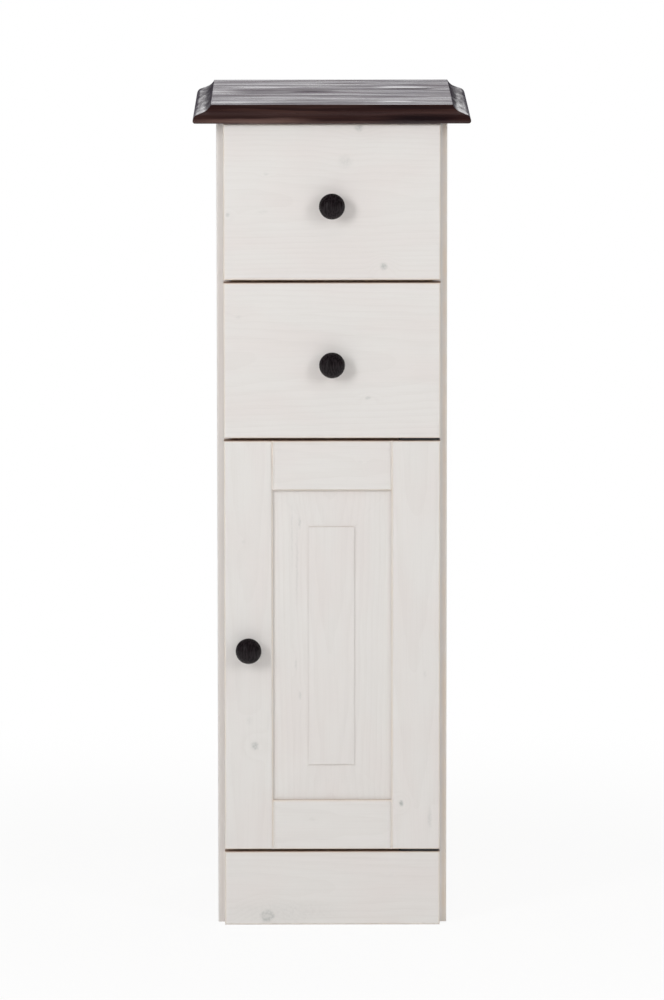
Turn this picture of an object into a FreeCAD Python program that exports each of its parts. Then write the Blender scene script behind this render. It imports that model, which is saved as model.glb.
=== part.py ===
"""Narrow bathroom cabinet in glazed pine: two drawers over one frame-and-panel door under a moulded top."""
import FreeCAD
import Part
import Sketcher
import os

Vector = FreeCAD.Vector
Rotation = FreeCAD.Rotation
doc = FreeCAD.newDocument("bathroom_cabinet")

# Driving dimensions in millimetres
SIZES = {
    # Whole cabinet
    "overall_height": 900,
    "carcass_width": 250,
    "carcass_depth": 300,
    "side_thickness": 16,
    "side_round": 2,
    "board_thickness": 16,
    "board_setback": 3,
    "back_thickness": 3,
    "back_inset": 10,
    "back_groove_depth": 6,
    "groove_clearance": 0.2,
    "rail_depth": 60,
    # Moulded top
    "top_width": 300,
    "top_thickness": 19,
    "top_overhang": 10.5,
    "mould_width": 19.5,
    "hollow_run": 8,
    "ogee_slope": 19,
    "round_radius": 6.75,
    "nose_round": 3,
    # Fronts and plinth
    "front_reveal": 7.5,
    "front_thickness": 18,
    "front_round": 2,
    "front_gap": 3,
    "top_gap": 1,
    "stand_off": 2,
    "drawer_front_height": 169.5,
    "plinth_height": 81.5,
    "plinth_thickness": 18,
    "plinth_round": 2,
    "block_width": 22,
    "block_height": 60,
    # Dowels of the carcass joints
    "dowel_diameter": 8,
    "dowel_clearance": 0.05,
    "dowel_side_depth": 10,
    "dowel_board_depth": 20,
    "dowel_inset": 16,
    # Loose shelf and its pins
    "shelf_height": 300,
    "shelf_clearance": 0.5,
    "shelf_setback": 24,
    "shelf_rest_gap": 0.05,
    "shelf_pin_diameter": 5,
    "shelf_pin_clearance": 0.05,
    "shelf_pin_depth": 9,
    "shelf_pin_reach": 8,
    "shelf_collar_diameter": 8,
    "shelf_collar_thickness": 1,
    "shelf_pin_pitch": 32,
    "shelf_pin_inset": 50,
    # Drawer boxes
    "runner_space": 12.5,
    "box_rise": 13,
    "box_height": 120,
    "box_back_clearance": 37,
    "box_wall": 12,
    "box_round": 1.5,
    "box_bottom_thickness": 3,
    "box_bottom_rise": 9,
    "box_groove_depth": 5,
    # Roller runners
    "runner_setback": 3,
    "runner_back_clearance": 34,
    "runner_steel": 1,
    "channel_height": 18,
    "channel_depth": 10.5,
    "channel_cutback": 24,
    "box_flange_width": 11,
    "roller_diameter": 15,
    "roller_width": 6,
    "roller_gap": 0.3,
    "roller_ride": 0.05,
    "roller_proud": 1,
    "roller_bore_clearance": 0.05,
    "axle_diameter": 5,
    "axle_head_diameter": 8,
    "axle_head_thickness": 1,
    "front_roller_inset": 10,
    "rear_roller_inset": 14,
    # Knobs and their screws
    "knob_diameter": 28,
    "knob_projection": 26,
    "knob_base_diameter": 17,
    "knob_base_height": 2,
    "knob_neck_diameter": 11,
    "knob_neck_height": 9,
    "knob_neck_round": 8,
    "knob_rim_height": 16,
    "knob_rim_thickness": 1.2,
    "knob_flare_round": 11,
    "knob_inset": 26.5,
    "knob_drop": 3,
    "screw_diameter": 4,
    "screw_clearance": 0.05,
    "screw_hole_clearance": 0.5,
    "screw_bite": 12,
    "screw_head_diameter": 8,
    "screw_head_thickness": 2.5,
    # Door frame and raised panel
    "stile_width": 53,
    "rail_width": 54.5,
    "frame_chamfer": 2,
    "panel_groove_depth": 9,
    "tongue_thickness": 5,
    "tongue_setback": 4.8,
    "tongue_gap": 1,
    "bevel_width": 39.4,
    "bevel_height": 3,
    "field_step": 1.5,
    "panel_clearance": 0.3,
    "panel_shift": -0.8,
    # Pivot hinges at the door's top and bottom edges
    "pivot_inset": 5.5,
    "pivot_setback": 9.5,
    "hinge_steel": 2,
    "hinge_length": 36,
    "hinge_flange_height": 9,
    "hinge_nose": 5,
    "hinge_corner": 4,
    "hinge_side_clearance": 0.5,
    "hinge_pin_diameter": 5,
    "hinge_pin_length": 12,
    "hinge_pin_head_diameter": 7,
    "hinge_pin_head_height": 0.3,
    "hinge_fit_clearance": 0.04,
    "bush_diameter": 7,
    "bush_length": 13,
    "bush_clearance": 0.05,
    "bush_proud": 0.3,
    # Magnet catch and bumpers
    "catch_width": 40,
    "catch_depth": 24,
    "catch_height": 12,
    "catch_round": 2,
    "catch_inset": 6,
    "catch_gap": 0.3,
    "strike_thickness": 1.2,
    "bumper_diameter": 8,
    "bumper_thickness": 1.7,
    "bumper_inset": 6,
    "bumper_margin": 30,
    # Run past a face that every cut makes
    "overrun": 1,
}

# Places worked out from the driving dimensions; the frame stands on z = 0 with the fronts facing -Y
LAYOUT = {
    "total_depth": "Sizes.knob_projection + Sizes.front_thickness + Sizes.stand_off + Sizes.carcass_depth",
    "back": "Layout.total_depth / 2",
    "front": "Layout.back - Sizes.carcass_depth",
    "front_back": "Layout.front - Sizes.stand_off",
    "face": "Layout.front_back - Sizes.front_thickness",
    "lip": "Layout.face - Sizes.top_overhang",
    "top_depth": "Layout.back - Layout.lip",
    "top_underside": "Sizes.overall_height - Sizes.top_thickness",
    "slope_rise": "sin(Sizes.ogee_slope)",
    "slope_run": "cos(Sizes.ogee_slope)",
    "round_run": "Sizes.round_radius * (1 - Layout.slope_rise)",
    "round_level": "Sizes.nose_round + Sizes.round_radius * Layout.slope_run",
    "hollow_foot": "Sizes.mould_width - Sizes.hollow_run",
    "hollow_level": "Layout.round_level + (Layout.hollow_foot - Layout.round_run) * tan(Sizes.ogee_slope)",
    "hollow_drop": "Sizes.top_thickness - Layout.hollow_level",
    "hollow_chord": "Sizes.hollow_run * Sizes.hollow_run + Layout.hollow_drop * Layout.hollow_drop",
    "hollow_lift": "Layout.hollow_drop * Layout.slope_run - Sizes.hollow_run * Layout.slope_rise",
    "hollow_radius": "Layout.hollow_chord / (2 * Layout.hollow_lift)",
    "half_width": "Sizes.carcass_width / 2",
    "inner_half": "Layout.half_width - Sizes.side_thickness",
    "inner_width": "2 * Layout.inner_half",
    "back_groove_width": "Sizes.back_thickness + Sizes.groove_clearance",
    "back_groove": "Layout.back - Sizes.back_inset - Layout.back_groove_width",
    "back_face": "Layout.back_groove + Sizes.groove_clearance / 2",
    "board_front": "Layout.front + Sizes.board_setback",
    "board_depth": "Layout.back_face - Layout.board_front",
    "front_width": "Sizes.carcass_width - 2 * Sizes.front_reveal",
    "front_half": "Layout.front_width / 2",
    "upper_drawer": "Layout.top_underside - Sizes.top_gap - Sizes.drawer_front_height",
    "lower_drawer": "Layout.upper_drawer - Sizes.front_gap - Sizes.drawer_front_height",
    "door_top": "Layout.lower_drawer - Sizes.front_gap",
    "door_bottom": "Sizes.plinth_height + Sizes.front_gap",
    "door_height": "Layout.door_top - Layout.door_bottom",
    "door_middle": "(Layout.door_top + Layout.door_bottom) / 2",
    "divider": "Layout.upper_drawer - Sizes.front_gap / 2 - Sizes.board_thickness / 2",
    "fixed_shelf": "Layout.lower_drawer - Sizes.front_gap / 2 - Sizes.board_thickness / 2",
    "bottom": "Layout.door_bottom - Sizes.front_gap / 2 - Sizes.board_thickness / 2",
    "top_rail": "Layout.top_underside - Sizes.board_thickness",
    "dowel_radius": "Sizes.dowel_diameter / 2",
    "dowel_hole_radius": "Layout.dowel_radius + Sizes.dowel_clearance",
    "dowel_length": "Sizes.dowel_side_depth + Sizes.dowel_board_depth",
    "shelf_pin_radius": "Sizes.shelf_pin_diameter / 2",
    "shelf_pin_hole_radius": "Layout.shelf_pin_radius + Sizes.shelf_pin_clearance",
    "shelf_pin_level": "Sizes.shelf_height - Layout.shelf_pin_radius - Sizes.shelf_rest_gap",
    "shelf_pin_front": "Layout.front + Sizes.shelf_pin_inset",
    "shelf_pin_back": "Layout.back_face - Sizes.shelf_pin_inset",
    "shelf_front": "Layout.front + Sizes.shelf_setback",
    # Heights in a drawer are counted from the lower edge of its front
    "box_half": "Layout.inner_half - Sizes.runner_space",
    "box_inner_half": "Layout.box_half - Sizes.box_wall",
    "box_inner_width": "2 * Layout.box_inner_half",
    "box_back": "Layout.back_face - Sizes.box_back_clearance",
    "box_depth": "Layout.box_back - Layout.front_back",
    "box_groove_width": "Sizes.box_bottom_thickness + Sizes.groove_clearance",
    "box_groove": "Sizes.box_rise + Sizes.box_bottom_rise",
    "box_bottom": "Layout.box_groove + Sizes.groove_clearance / 2",
    "box_tongue": "Sizes.box_groove_depth - Sizes.groove_clearance",
    "box_flange": "Sizes.box_rise - Sizes.runner_steel",
    "roller_radius": "Sizes.roller_diameter / 2",
    "roller_bore_radius": "Sizes.axle_diameter / 2 + Sizes.roller_bore_clearance",
    "channel_inside": "Sizes.runner_steel + Sizes.roller_ride",
    "channel": "Layout.box_flange - 2 * Sizes.runner_steel",
    "channel_top": "Layout.channel + Sizes.channel_height",
    "runner_front": "Layout.front + Sizes.runner_setback",
    "runner_length": "Layout.back_face - Sizes.runner_back_clearance - Layout.runner_front",
    "front_roller": "Layout.runner_front + Sizes.front_roller_inset",
    "front_roller_level": "Layout.channel_top + Sizes.roller_proud - Layout.roller_radius",
    "rear_roller": "Layout.runner_front + Layout.runner_length - Sizes.rear_roller_inset",
    "rear_roller_level": "Layout.channel + Layout.channel_inside + Layout.roller_radius",
    "running_flange": "Layout.channel_top + Sizes.roller_proud + Sizes.roller_ride",
    "running_top": "Layout.running_flange + Sizes.runner_steel",
    "box_web": "Sizes.runner_space - Sizes.runner_steel",
    "roller_start": "(Sizes.channel_depth + Sizes.runner_steel - Sizes.roller_width) / 2",
    "roller_end": "Layout.roller_start + Sizes.roller_width",
    "drawer_knob": "Sizes.drawer_front_height / 2 - Sizes.knob_drop",
    # Knob and screw
    "knob_radius": "Sizes.knob_diameter / 2",
    "knob_base_radius": "Sizes.knob_base_diameter / 2",
    "knob_neck_radius": "Sizes.knob_neck_diameter / 2",
    "knob_dome_start": "Sizes.knob_rim_height + Sizes.knob_rim_thickness",
    "knob_dome_rise": "Sizes.knob_projection - Layout.knob_dome_start",
    "knob_dome_radius": "(Layout.knob_radius * Layout.knob_radius / Layout.knob_dome_rise"
                        " + Layout.knob_dome_rise) / 2",
    "screw_radius": "Sizes.screw_diameter / 2",
    "screw_bore_radius": "Layout.screw_radius + Sizes.screw_clearance",
    "screw_bore_depth": "Sizes.screw_bite + Sizes.overrun",
    "screw_hole_radius": "Layout.screw_radius + Sizes.screw_hole_clearance",
    "screw_length": "Sizes.front_thickness + Sizes.screw_bite",
    "door_knob": "Sizes.knob_inset - Layout.front_half",
    "door_knob_level": "Layout.door_middle - Sizes.knob_drop",
    # Door
    "frame_inner": "Layout.front_half - Sizes.stile_width",
    "opening_height": "Layout.door_height - 2 * Sizes.rail_width",
    "opening_bottom": "Layout.door_bottom + Sizes.rail_width",
    "opening_top": "Layout.door_top - Sizes.rail_width",
    "panel_groove": "Layout.face + Sizes.tongue_setback",
    "panel_groove_width": "Sizes.tongue_thickness + Sizes.groove_clearance",
    "tongue_front": "Layout.panel_groove + Sizes.groove_clearance / 2",
    "tongue_reach": "Sizes.panel_groove_depth - Sizes.tongue_gap",
    "panel_half": "Layout.frame_inner - Sizes.panel_clearance",
    "field_half": "Layout.panel_half - Sizes.bevel_width",
    "panel_half_height": "Layout.opening_height / 2 - Sizes.panel_clearance",
    "field_half_height": "Layout.panel_half_height - Sizes.bevel_width",
    # Pivot hinges
    "pivot_x": "Layout.front_half - Sizes.pivot_inset",
    "pivot_y": "Layout.front_back - Sizes.pivot_setback",
    "hinge_gap": "(Sizes.front_gap - Sizes.hinge_steel) / 2",
    "hinge_pin_radius": "Sizes.hinge_pin_diameter / 2",
    "hinge_eye_radius": "Layout.hinge_pin_radius + Sizes.hinge_fit_clearance",
    "bush_radius": "Sizes.bush_diameter / 2",
    "bush_hole_radius": "Layout.bush_radius + Sizes.bush_clearance",
    "hinge_inner_end": "Layout.inner_half - Sizes.hinge_side_clearance",
    "hinge_start": "Layout.hinge_inner_end - Sizes.hinge_length",
    "hinge_front": "Layout.pivot_y - Sizes.hinge_nose",
    "hinge_outer_end": "Layout.pivot_x + Sizes.hinge_nose",
    "hinge_back": "Layout.board_front",
    # Catch and bumpers
    "strike_back": "Layout.front_back + Sizes.strike_thickness",
    "catch_left": "Sizes.catch_inset - Layout.inner_half",
    "catch_level": "Layout.fixed_shelf - Sizes.catch_height",
    "bumper_x": "Sizes.bumper_inset - Layout.front_half",
}

HANDS = {"left": -1, "right": 1}
ALONG_X = Rotation(Vector(0, 1, 0), 90)
ALONG_MINUS_X = Rotation(Vector(0, 1, 0), -90)
ALONG_Y = Rotation(Vector(1, 0, 0), -90)
ALONG_MINUS_Y = Rotation(Vector(1, 0, 0), 90)
FACING_FRONT = Rotation(Vector(0, 0, 1), 180)
# A sketch turned upright: its x and y run along Y and Z, or along X and Z
UPRIGHT_YZ = Rotation(Vector(1, 1, 1), 120)
UPRIGHT_XZ = Rotation(Vector(1, 0, 0), 90)
SHELF_PIN_STEPS = 4
PICK_TOLERANCE_SHARE = 1e-6

pieces = []


def fill_sheet(name, cells):
    """Make a sheet with one aliased cell for each named value."""
    sheet = doc.addObject("Spreadsheet::Sheet", name)
    for row, (alias, content) in enumerate(cells.items(), start=1):
        sheet.set(f"A{row}", alias)
        cell = f"B{row}"
        sheet.setAlias(cell, alias)
        sheet.set(cell, content)
    return sheet


sizes = fill_sheet("Sizes", {alias: str(value) for alias, value in SIZES.items()})
doc.recompute()
layout = fill_sheet("Layout", {alias: "=" + text.replace("Layout.", "") for alias, text in LAYOUT.items()})
doc.recompute()


def new_piece(label):
    """Start the body of one physical piece."""
    body = doc.addObject("PartDesign::Body", label)
    body.Label = label
    pieces.append(body)
    return body


def place(target, x, y, z, rotation=None):
    """Bind the three coordinates of a placement."""
    if rotation is not None:
        target.Placement = FreeCAD.Placement(Vector(0, 0, 0), rotation)
    for axis, expression in zip("xyz", (x, y, z)):
        target.setExpression("Placement.Base." + axis, str(expression))


def add_box(body, name, corner, size, kind="Additive"):
    """Add or cut a box given by its lowest corner and its size along X, Y and Z."""
    box = body.newObject(f"PartDesign::{kind}Box", name)
    for side, expression in zip(("Length", "Width", "Height"), size):
        box.setExpression(side, expression)
    place(box, *corner)
    return box


def cut_box(body, name, corner, size):
    return add_box(body, name, corner, size, "Subtractive")


def add_rod(body, name, start, radius, length, rotation=None, kind="Additive"):
    """Add or cut a cylinder that runs from its start along Z, or along the turned Z axis."""
    rod = body.newObject(f"PartDesign::{kind}Cylinder", name)
    rod.setExpression("Radius", radius)
    rod.setExpression("Height", length)
    place(rod, *start, rotation)
    return rod


def cut_rod(body, name, start, radius, length, rotation=None):
    return add_rod(body, name, start, radius, length, rotation, "Subtractive")


def pick_edges(body, wanted):
    """Names of the edges of the body's last feature whose box passes the test."""
    doc.recompute()
    shape = body.Tip.Shape
    tolerance = shape.BoundBox.DiagonalLength * PICK_TOLERANCE_SHARE
    names = []
    for number, edge in enumerate(shape.Edges, start=1):
        if wanted(edge.BoundBox, shape.BoundBox, tolerance):
            names.append(f"Edge{number}")
    return names


def dress_edges(body, kind, name, wanted, size_property, size):
    """Round or chamfer the edges of a body that pass the test."""
    base = body.Tip
    edges = pick_edges(body, wanted)
    feature = body.newObject("PartDesign::" + kind, name)
    feature.Base = (base, edges)
    feature.setExpression(size_property, size)
    body.Tip = feature
    return feature


def round_edges(body, name, wanted, radius):
    return dress_edges(body, "Fillet", name, wanted, "Radius", radius)


def chamfer_edges(body, name, wanted, size):
    return dress_edges(body, "Chamfer", name, wanted, "Size", size)


def on_front(edge, whole, tolerance):
    return edge.YMax < whole.YMin + tolerance


def on_top(edge, whole, tolerance):
    return edge.ZMin > whole.ZMax - tolerance


def upright(edge, tolerance):
    return edge.XLength < tolerance and edge.YLength < tolerance


def front_upright(edge, whole, tolerance):
    return on_front(edge, whole, tolerance) and upright(edge, tolerance)


def front_crosswise(edge, whole, tolerance):
    return on_front(edge, whole, tolerance) and not upright(edge, tolerance)


def from_side(hand, start, width):
    """Lowest X of a piece that begins a given way in from a side panel's inner face."""
    if hand < 0:
        return f"{start} - Layout.inner_half"
    return f"Layout.inner_half - ({start}) - ({width})"


def value_of(expression):
    """Number that an expression of the two sheets gives."""
    return float(layout.evalExpression(expression.replace("Layout.", "")))


def arc_centre(start, end, radius, turn):
    """Centre of the arc between two points; turn is 1 when the arc runs anticlockwise."""
    chord = end - start
    middle = (start + end) / 2
    rise = (radius * radius - chord.Length * chord.Length / 4) ** 0.5
    normal = Vector(-chord.y, chord.x, 0).normalize()
    return middle + normal * (rise * turn)


def add_outline(sketch, corners):
    """Draw a closed outline and bind it.

    Each corner is (x, y) or (x, y, radius, turn), where the last two make an arc to the next corner.
    """
    points = [Vector(value_of(corner[0]), value_of(corner[1]), 0) for corner in corners]
    ends = []
    for number, corner in enumerate(corners):
        start = points[number]
        end = points[(number + 1) % len(points)]
        if len(corner) == 2:
            line = sketch.addGeometry(Part.LineSegment(start, end))
            ends.append((line, 1, 2))
            continue
        turn = corner[3]
        radius = value_of(corner[2])
        centre = arc_centre(start, end, radius, turn)
        first, last = (start, end) if turn > 0 else (end, start)
        circle = Part.Circle(centre, Vector(0, 0, 1), radius)
        arc = Part.ArcOfCircle(circle, circle.parameter(first), circle.parameter(last))
        bow = sketch.addGeometry(arc)
        ends.append((bow, 1, 2) if turn > 0 else (bow, 2, 1))
        constraint = sketch.addConstraint(Sketcher.Constraint("Radius", bow, radius))
        sketch.setExpression(f"Constraints[{constraint}]", corner[2])
    for number, (geometry, first, last) in enumerate(ends):
        following, next_first, _ = ends[(number + 1) % len(ends)]
        sketch.addConstraint(Sketcher.Constraint("Coincident", geometry, last, following, next_first))
    for corner, point, (geometry, first, _) in zip(corners, points, ends):
        bind_point(sketch, "DistanceX", geometry, first, corner[0], point.x, -2)
        bind_point(sketch, "DistanceY", geometry, first, corner[1], point.y, -1)


def bind_point(sketch, kind, geometry, end, expression, value, zero_axis):
    """Hold a point at a bound distance from the sketch's origin, or on an axis when that is zero."""
    if expression == "0":
        sketch.addConstraint(Sketcher.Constraint("PointOnObject", geometry, end, zero_axis))
        return
    constraint = sketch.addConstraint(Sketcher.Constraint(kind, -1, 1, geometry, end, value))
    sketch.setExpression(f"Constraints[{constraint}]", expression)


def origin_feature(body, role):
    """Plane or axis of the body's own origin."""
    return [feature for feature in body.Origin.OriginFeatures if feature.Role == role][0]


def body_sketch(body, name, plane, corners):
    """Sketch on one of the body's own origin planes."""
    sketch = body.newObject("Sketcher::SketchObject", name)
    sketch.AttachmentSupport = [(origin_feature(body, plane), "")]
    sketch.MapMode = "FlatFace"
    add_outline(sketch, corners)
    return sketch


def free_sketch(name, corners, place_at, rotation):
    """Sketch outside a body, placed by three bound coordinates."""
    sketch = doc.addObject("Sketcher::SketchObject", name)
    place(sketch, *place_at, rotation)
    add_outline(sketch, corners)
    return sketch


def extrude(name, sketch, length):
    """Solid of a sketch along its normal."""
    solid = doc.addObject("Part::Extrusion", name)
    solid.Base = sketch
    solid.DirMode = "Normal"
    solid.Solid = True
    solid.setExpression("LengthFwd", length)
    return solid


def part_rod(name, start, radius, length, rotation=None):
    """Loose cylinder for a group of like pieces."""
    rod = doc.addObject("Part::Cylinder", name)
    rod.setExpression("Radius", radius)
    rod.setExpression("Height", length)
    place(rod, *start, rotation)
    return rod


def part_join(kind, name, base, tool):
    joined = doc.addObject("Part::" + kind, name)
    joined.Base = base
    joined.Tool = tool
    return joined


def new_group(label, members):
    """One node that holds like solids."""
    group = doc.addObject("Part::Compound", label)
    group.Label = label
    group.Links = members
    pieces.append(group)
    return group


def x_from_side(hand, distance):
    """X at a given way in from a side panel's inner face."""
    return f"{-hand} * ({distance} - Layout.inner_half)"


def inward_axis(hand):
    return ALONG_X if hand < 0 else ALONG_MINUS_X


# Moulded top: sections across the depth and across the width meet in mitred corners
def moulded_edge(outer, inward):
    """Corners from the flat top down over the ogee, a hollow that runs into a round; inward is + or -."""
    def at(distance):
        return distance if outer == "0" else f"{outer} {inward} {distance}"
    nose = "Sizes.nose_round"
    turn = 1 if inward == "+" else -1
    return [
        (at("Sizes.mould_width"), "Sizes.top_thickness", "Layout.hollow_radius", -turn),
        (at("Layout.hollow_foot"), "Layout.hollow_level"),
        (at("Layout.round_run"), "Layout.round_level", "Sizes.round_radius", turn),
        (outer, nose, nose, turn),
        (at(nose), "0"),
    ]


def reversed_outline(corners):
    """The same run of corners taken the other way, with each arc kept in its place."""
    turned = []
    for number in range(len(corners) - 1, -1, -1):
        x, y = corners[number][:2]
        before = corners[number - 1] if number > 0 else ()
        arc = (before[2], -before[3]) if len(before) == 4 else ()
        turned.append((x, y, *arc))
    return turned


def top_board():
    depth_corners = [
        ("Layout.top_depth", "0"),
        ("Layout.top_depth", "Sizes.top_thickness"),
        *moulded_edge("0", "+"),
    ]
    width_corners = [
        *reversed_outline(moulded_edge("Sizes.top_width", "-")),
        *moulded_edge("0", "+"),
    ]
    left = "-Sizes.top_width / 2"
    depth_sketch = free_sketch("top_depth_section", depth_corners,
                               (left, "Layout.lip", "Layout.top_underside"), UPRIGHT_YZ)
    width_sketch = free_sketch("top_width_section", width_corners,
                               (left, "Layout.back", "Layout.top_underside"), UPRIGHT_XZ)
    along_width = extrude("top_along_width", depth_sketch, "Sizes.top_width")
    along_depth = extrude("top_along_depth", width_sketch, "Layout.top_depth")
    board = part_join("Common", "top_board", along_width, along_depth)
    board.Label = "top_board"
    pieces.append(board)


# Carcass boards
BOARD_LEVELS = {"bottom_board": "Layout.bottom", "fixed_shelf": "Layout.fixed_shelf"}
RAILS = {
    "top_rail_front": ("Layout.board_front", "Layout.top_rail"),
    "top_rail_back": ("Layout.back_face - Sizes.rail_depth", "Layout.top_rail"),
    "drawer_divider_rail": ("Layout.board_front", "Layout.divider"),
}


def dowel_places():
    """Y and Z of every dowel, by the board that it holds."""
    places = {}
    half = "Sizes.board_thickness / 2"
    for label, level in BOARD_LEVELS.items():
        rows = ("Layout.board_front + Sizes.dowel_inset",
                "Layout.board_front + Layout.board_depth / 2",
                "Layout.back_face - Sizes.dowel_inset")
        places[label] = [(row, f"{level} + {half}") for row in rows]
    for label, (start, level) in RAILS.items():
        rows = (f"{start} + Sizes.dowel_inset", f"{start} + Sizes.rail_depth - Sizes.dowel_inset")
        places[label] = [(row, f"{level} + {half}") for row in rows]
    return places


DOWELS = dowel_places()


def side_panel(name, hand):
    body = new_piece("side_panel_" + name)
    add_box(body, "panel_" + name, (from_side(hand, "-Sizes.side_thickness", "Sizes.side_thickness"),
                                    "Layout.front", "0"),
            ("Sizes.side_thickness", "Sizes.carcass_depth", "Layout.top_underside"))
    round_edges(body, "front_rounds_" + name, front_upright, "Sizes.side_round")
    groove_width = "Sizes.back_groove_depth + Sizes.overrun"
    groove_start = from_side(hand, "-Sizes.back_groove_depth", groove_width)
    cut_box(body, "back_groove_" + name, (groove_start, "Layout.back_groove", "-Sizes.overrun"),
            (groove_width, "Layout.back_groove_width", "Layout.top_underside + 2 * Sizes.overrun"))
    for label, places in DOWELS.items():
        for number, (y, z) in enumerate(places):
            cut_rod(body, f"{label}_dowel_hole_{name}_{number}",
                    (x_from_side(hand, "-Sizes.dowel_side_depth"), y, z), "Layout.dowel_hole_radius",
                    "Sizes.dowel_side_depth + Sizes.overrun", inward_axis(hand))
    rows = []
    lowest = f"Layout.shelf_pin_level - {SHELF_PIN_STEPS} / 2 * Sizes.shelf_pin_pitch"
    for row in ("front", "back"):
        rows.append(cut_rod(body, f"shelf_pin_hole_{row}_{name}",
                            (x_from_side(hand, "-Sizes.shelf_pin_depth"), "Layout.shelf_pin_" + row, lowest),
                            "Layout.shelf_pin_hole_radius", "Sizes.shelf_pin_depth + Sizes.overrun",
                            inward_axis(hand)))
    doc.recompute()
    holes = body.newObject("PartDesign::LinearPattern", "shelf_pin_rows_" + name)
    holes.Originals = rows
    holes.Direction = (origin_feature(body, "Z_Axis"), [""])
    holes.setExpression("Length", f"{SHELF_PIN_STEPS} * Sizes.shelf_pin_pitch")
    holes.Occurrences = SHELF_PIN_STEPS + 1
    body.Tip = holes


def cross_board(label, start, depth, level):
    """Board between the side panels, drilled at both ends for its dowels."""
    body = new_piece(label)
    add_box(body, label + "_blank", ("-Layout.inner_half", start, level),
            ("Layout.inner_width", depth, "Sizes.board_thickness"))
    for name, hand in HANDS.items():
        for number, (y, z) in enumerate(DOWELS[label]):
            cut_rod(body, f"{label}_end_hole_{name}_{number}",
                    (x_from_side(hand, "-Sizes.overrun"), y, z), "Layout.dowel_hole_radius",
                    "Sizes.dowel_board_depth + 2 * Sizes.overrun", inward_axis(hand))


def carcass_dowels():
    rods = []
    for label, places in DOWELS.items():
        for name, hand in HANDS.items():
            for number, (y, z) in enumerate(places):
                rods.append(part_rod(f"{label}_dowel_{name}_{number}",
                                     (x_from_side(hand, "-Sizes.dowel_side_depth"), y, z),
                                     "Layout.dowel_radius", "Layout.dowel_length", inward_axis(hand)))
    new_group("carcass_dowels", rods)


def back_panel():
    body = new_piece("back_panel")
    reach = "(Layout.inner_half + Sizes.back_groove_depth - Sizes.groove_clearance)"
    add_box(body, "back_sheet", ("-" + reach, "Layout.back_face", "Layout.bottom"),
            ("2 * " + reach, "Sizes.back_thickness", "Layout.top_underside - Layout.bottom"))


def plinth():
    board = new_piece("plinth_board")
    add_box(board, "plinth_blank", ("-Layout.front_half", "Layout.front - Sizes.plinth_thickness", "0"),
            ("Layout.front_width", "Sizes.plinth_thickness", "Sizes.plinth_height"))
    round_edges(board, "plinth_rounds", on_front, "Sizes.plinth_round")
    blocks = []
    for name, hand in HANDS.items():
        block = doc.addObject("Part::Box", "plinth_block_" + name)
        for side, size in zip(("Length", "Width", "Height"), ("block_width", "block_width", "block_height")):
            block.setExpression(side, "Sizes." + size)
        place(block, from_side(hand, "0", "Sizes.block_width"), "Layout.front",
              "(Layout.bottom - Sizes.block_height) / 2")
        blocks.append(block)
    new_group("plinth_blocks", blocks)


def loose_shelf():
    body = new_piece("loose_shelf")
    half = "(Layout.inner_half - Sizes.shelf_collar_thickness - Sizes.shelf_clearance)"
    add_box(body, "shelf_blank", ("-" + half, "Layout.shelf_front", "Sizes.shelf_height"),
            ("2 * " + half, "Layout.back_face - Sizes.shelf_clearance - Layout.shelf_front",
             "Sizes.board_thickness"))
    round_edges(body, "shelf_rounds", front_crosswise, "Sizes.side_round")
    pins = []
    for name, hand in HANDS.items():
        for row in ("front", "back"):
            y = "Layout.shelf_pin_" + row
            pin = part_rod(f"shelf_pin_{row}_{name}",
                           (x_from_side(hand, "-Sizes.shelf_pin_depth"), y, "Layout.shelf_pin_level"),
                           "Layout.shelf_pin_radius", "Sizes.shelf_pin_depth + Sizes.shelf_pin_reach",
                           inward_axis(hand))
            collar = part_rod(f"shelf_collar_{row}_{name}",
                              (x_from_side(hand, "0"), y, "Layout.shelf_pin_level"),
                              "Sizes.shelf_collar_diameter / 2", "Sizes.shelf_collar_thickness",
                              inward_axis(hand))
            pins.append(part_join("Fuse", f"shelf_support_{row}_{name}", pin, collar))
    new_group("shelf_pins", pins)


# Knobs
def knob(label, x, z):
    """Turned knob: a foot, a waisted neck and a domed head, with a blind bore for its screw."""
    corners = [
        ("Layout.screw_bore_radius", "0"),
        ("Layout.knob_base_radius", "0"),
        ("Layout.knob_base_radius", "Sizes.knob_base_height", "Sizes.knob_neck_round", -1),
        ("Layout.knob_neck_radius", "Sizes.knob_neck_height", "Sizes.knob_flare_round", -1),
        ("Layout.knob_radius", "Sizes.knob_rim_height"),
        ("Layout.knob_radius", "Layout.knob_dome_start", "Layout.knob_dome_radius", 1),
        ("0", "Sizes.knob_projection"),
        ("0", "Layout.screw_bore_depth"),
        ("Layout.screw_bore_radius", "Layout.screw_bore_depth"),
    ]
    body = new_piece(label)
    place(body, x, "Layout.face", z, FACING_FRONT)
    sketch = body_sketch(body, label + "_profile", "XY_Plane", corners)
    turned = body.newObject("PartDesign::Revolution", label + "_turning")
    turned.Profile = sketch
    turned.ReferenceAxis = (sketch, ["V_Axis"])
    body.Tip = turned
    screw = new_piece(label + "_screw")
    add_rod(screw, label + "_screw_shank", (x, "Layout.front_back", z), "Layout.screw_radius",
            "Layout.screw_length", ALONG_MINUS_Y)
    add_rod(screw, label + "_screw_head", (x, "Layout.front_back", z), "Sizes.screw_head_diameter / 2",
            "Sizes.screw_head_thickness", ALONG_Y)


def knob_hole(body, x, z):
    cut_rod(body, body.Label + "_knob_hole", (x, "Layout.face - Sizes.overrun", z),
            "Layout.screw_hole_radius", "Sizes.front_thickness + 2 * Sizes.overrun", ALONG_Y)


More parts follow.
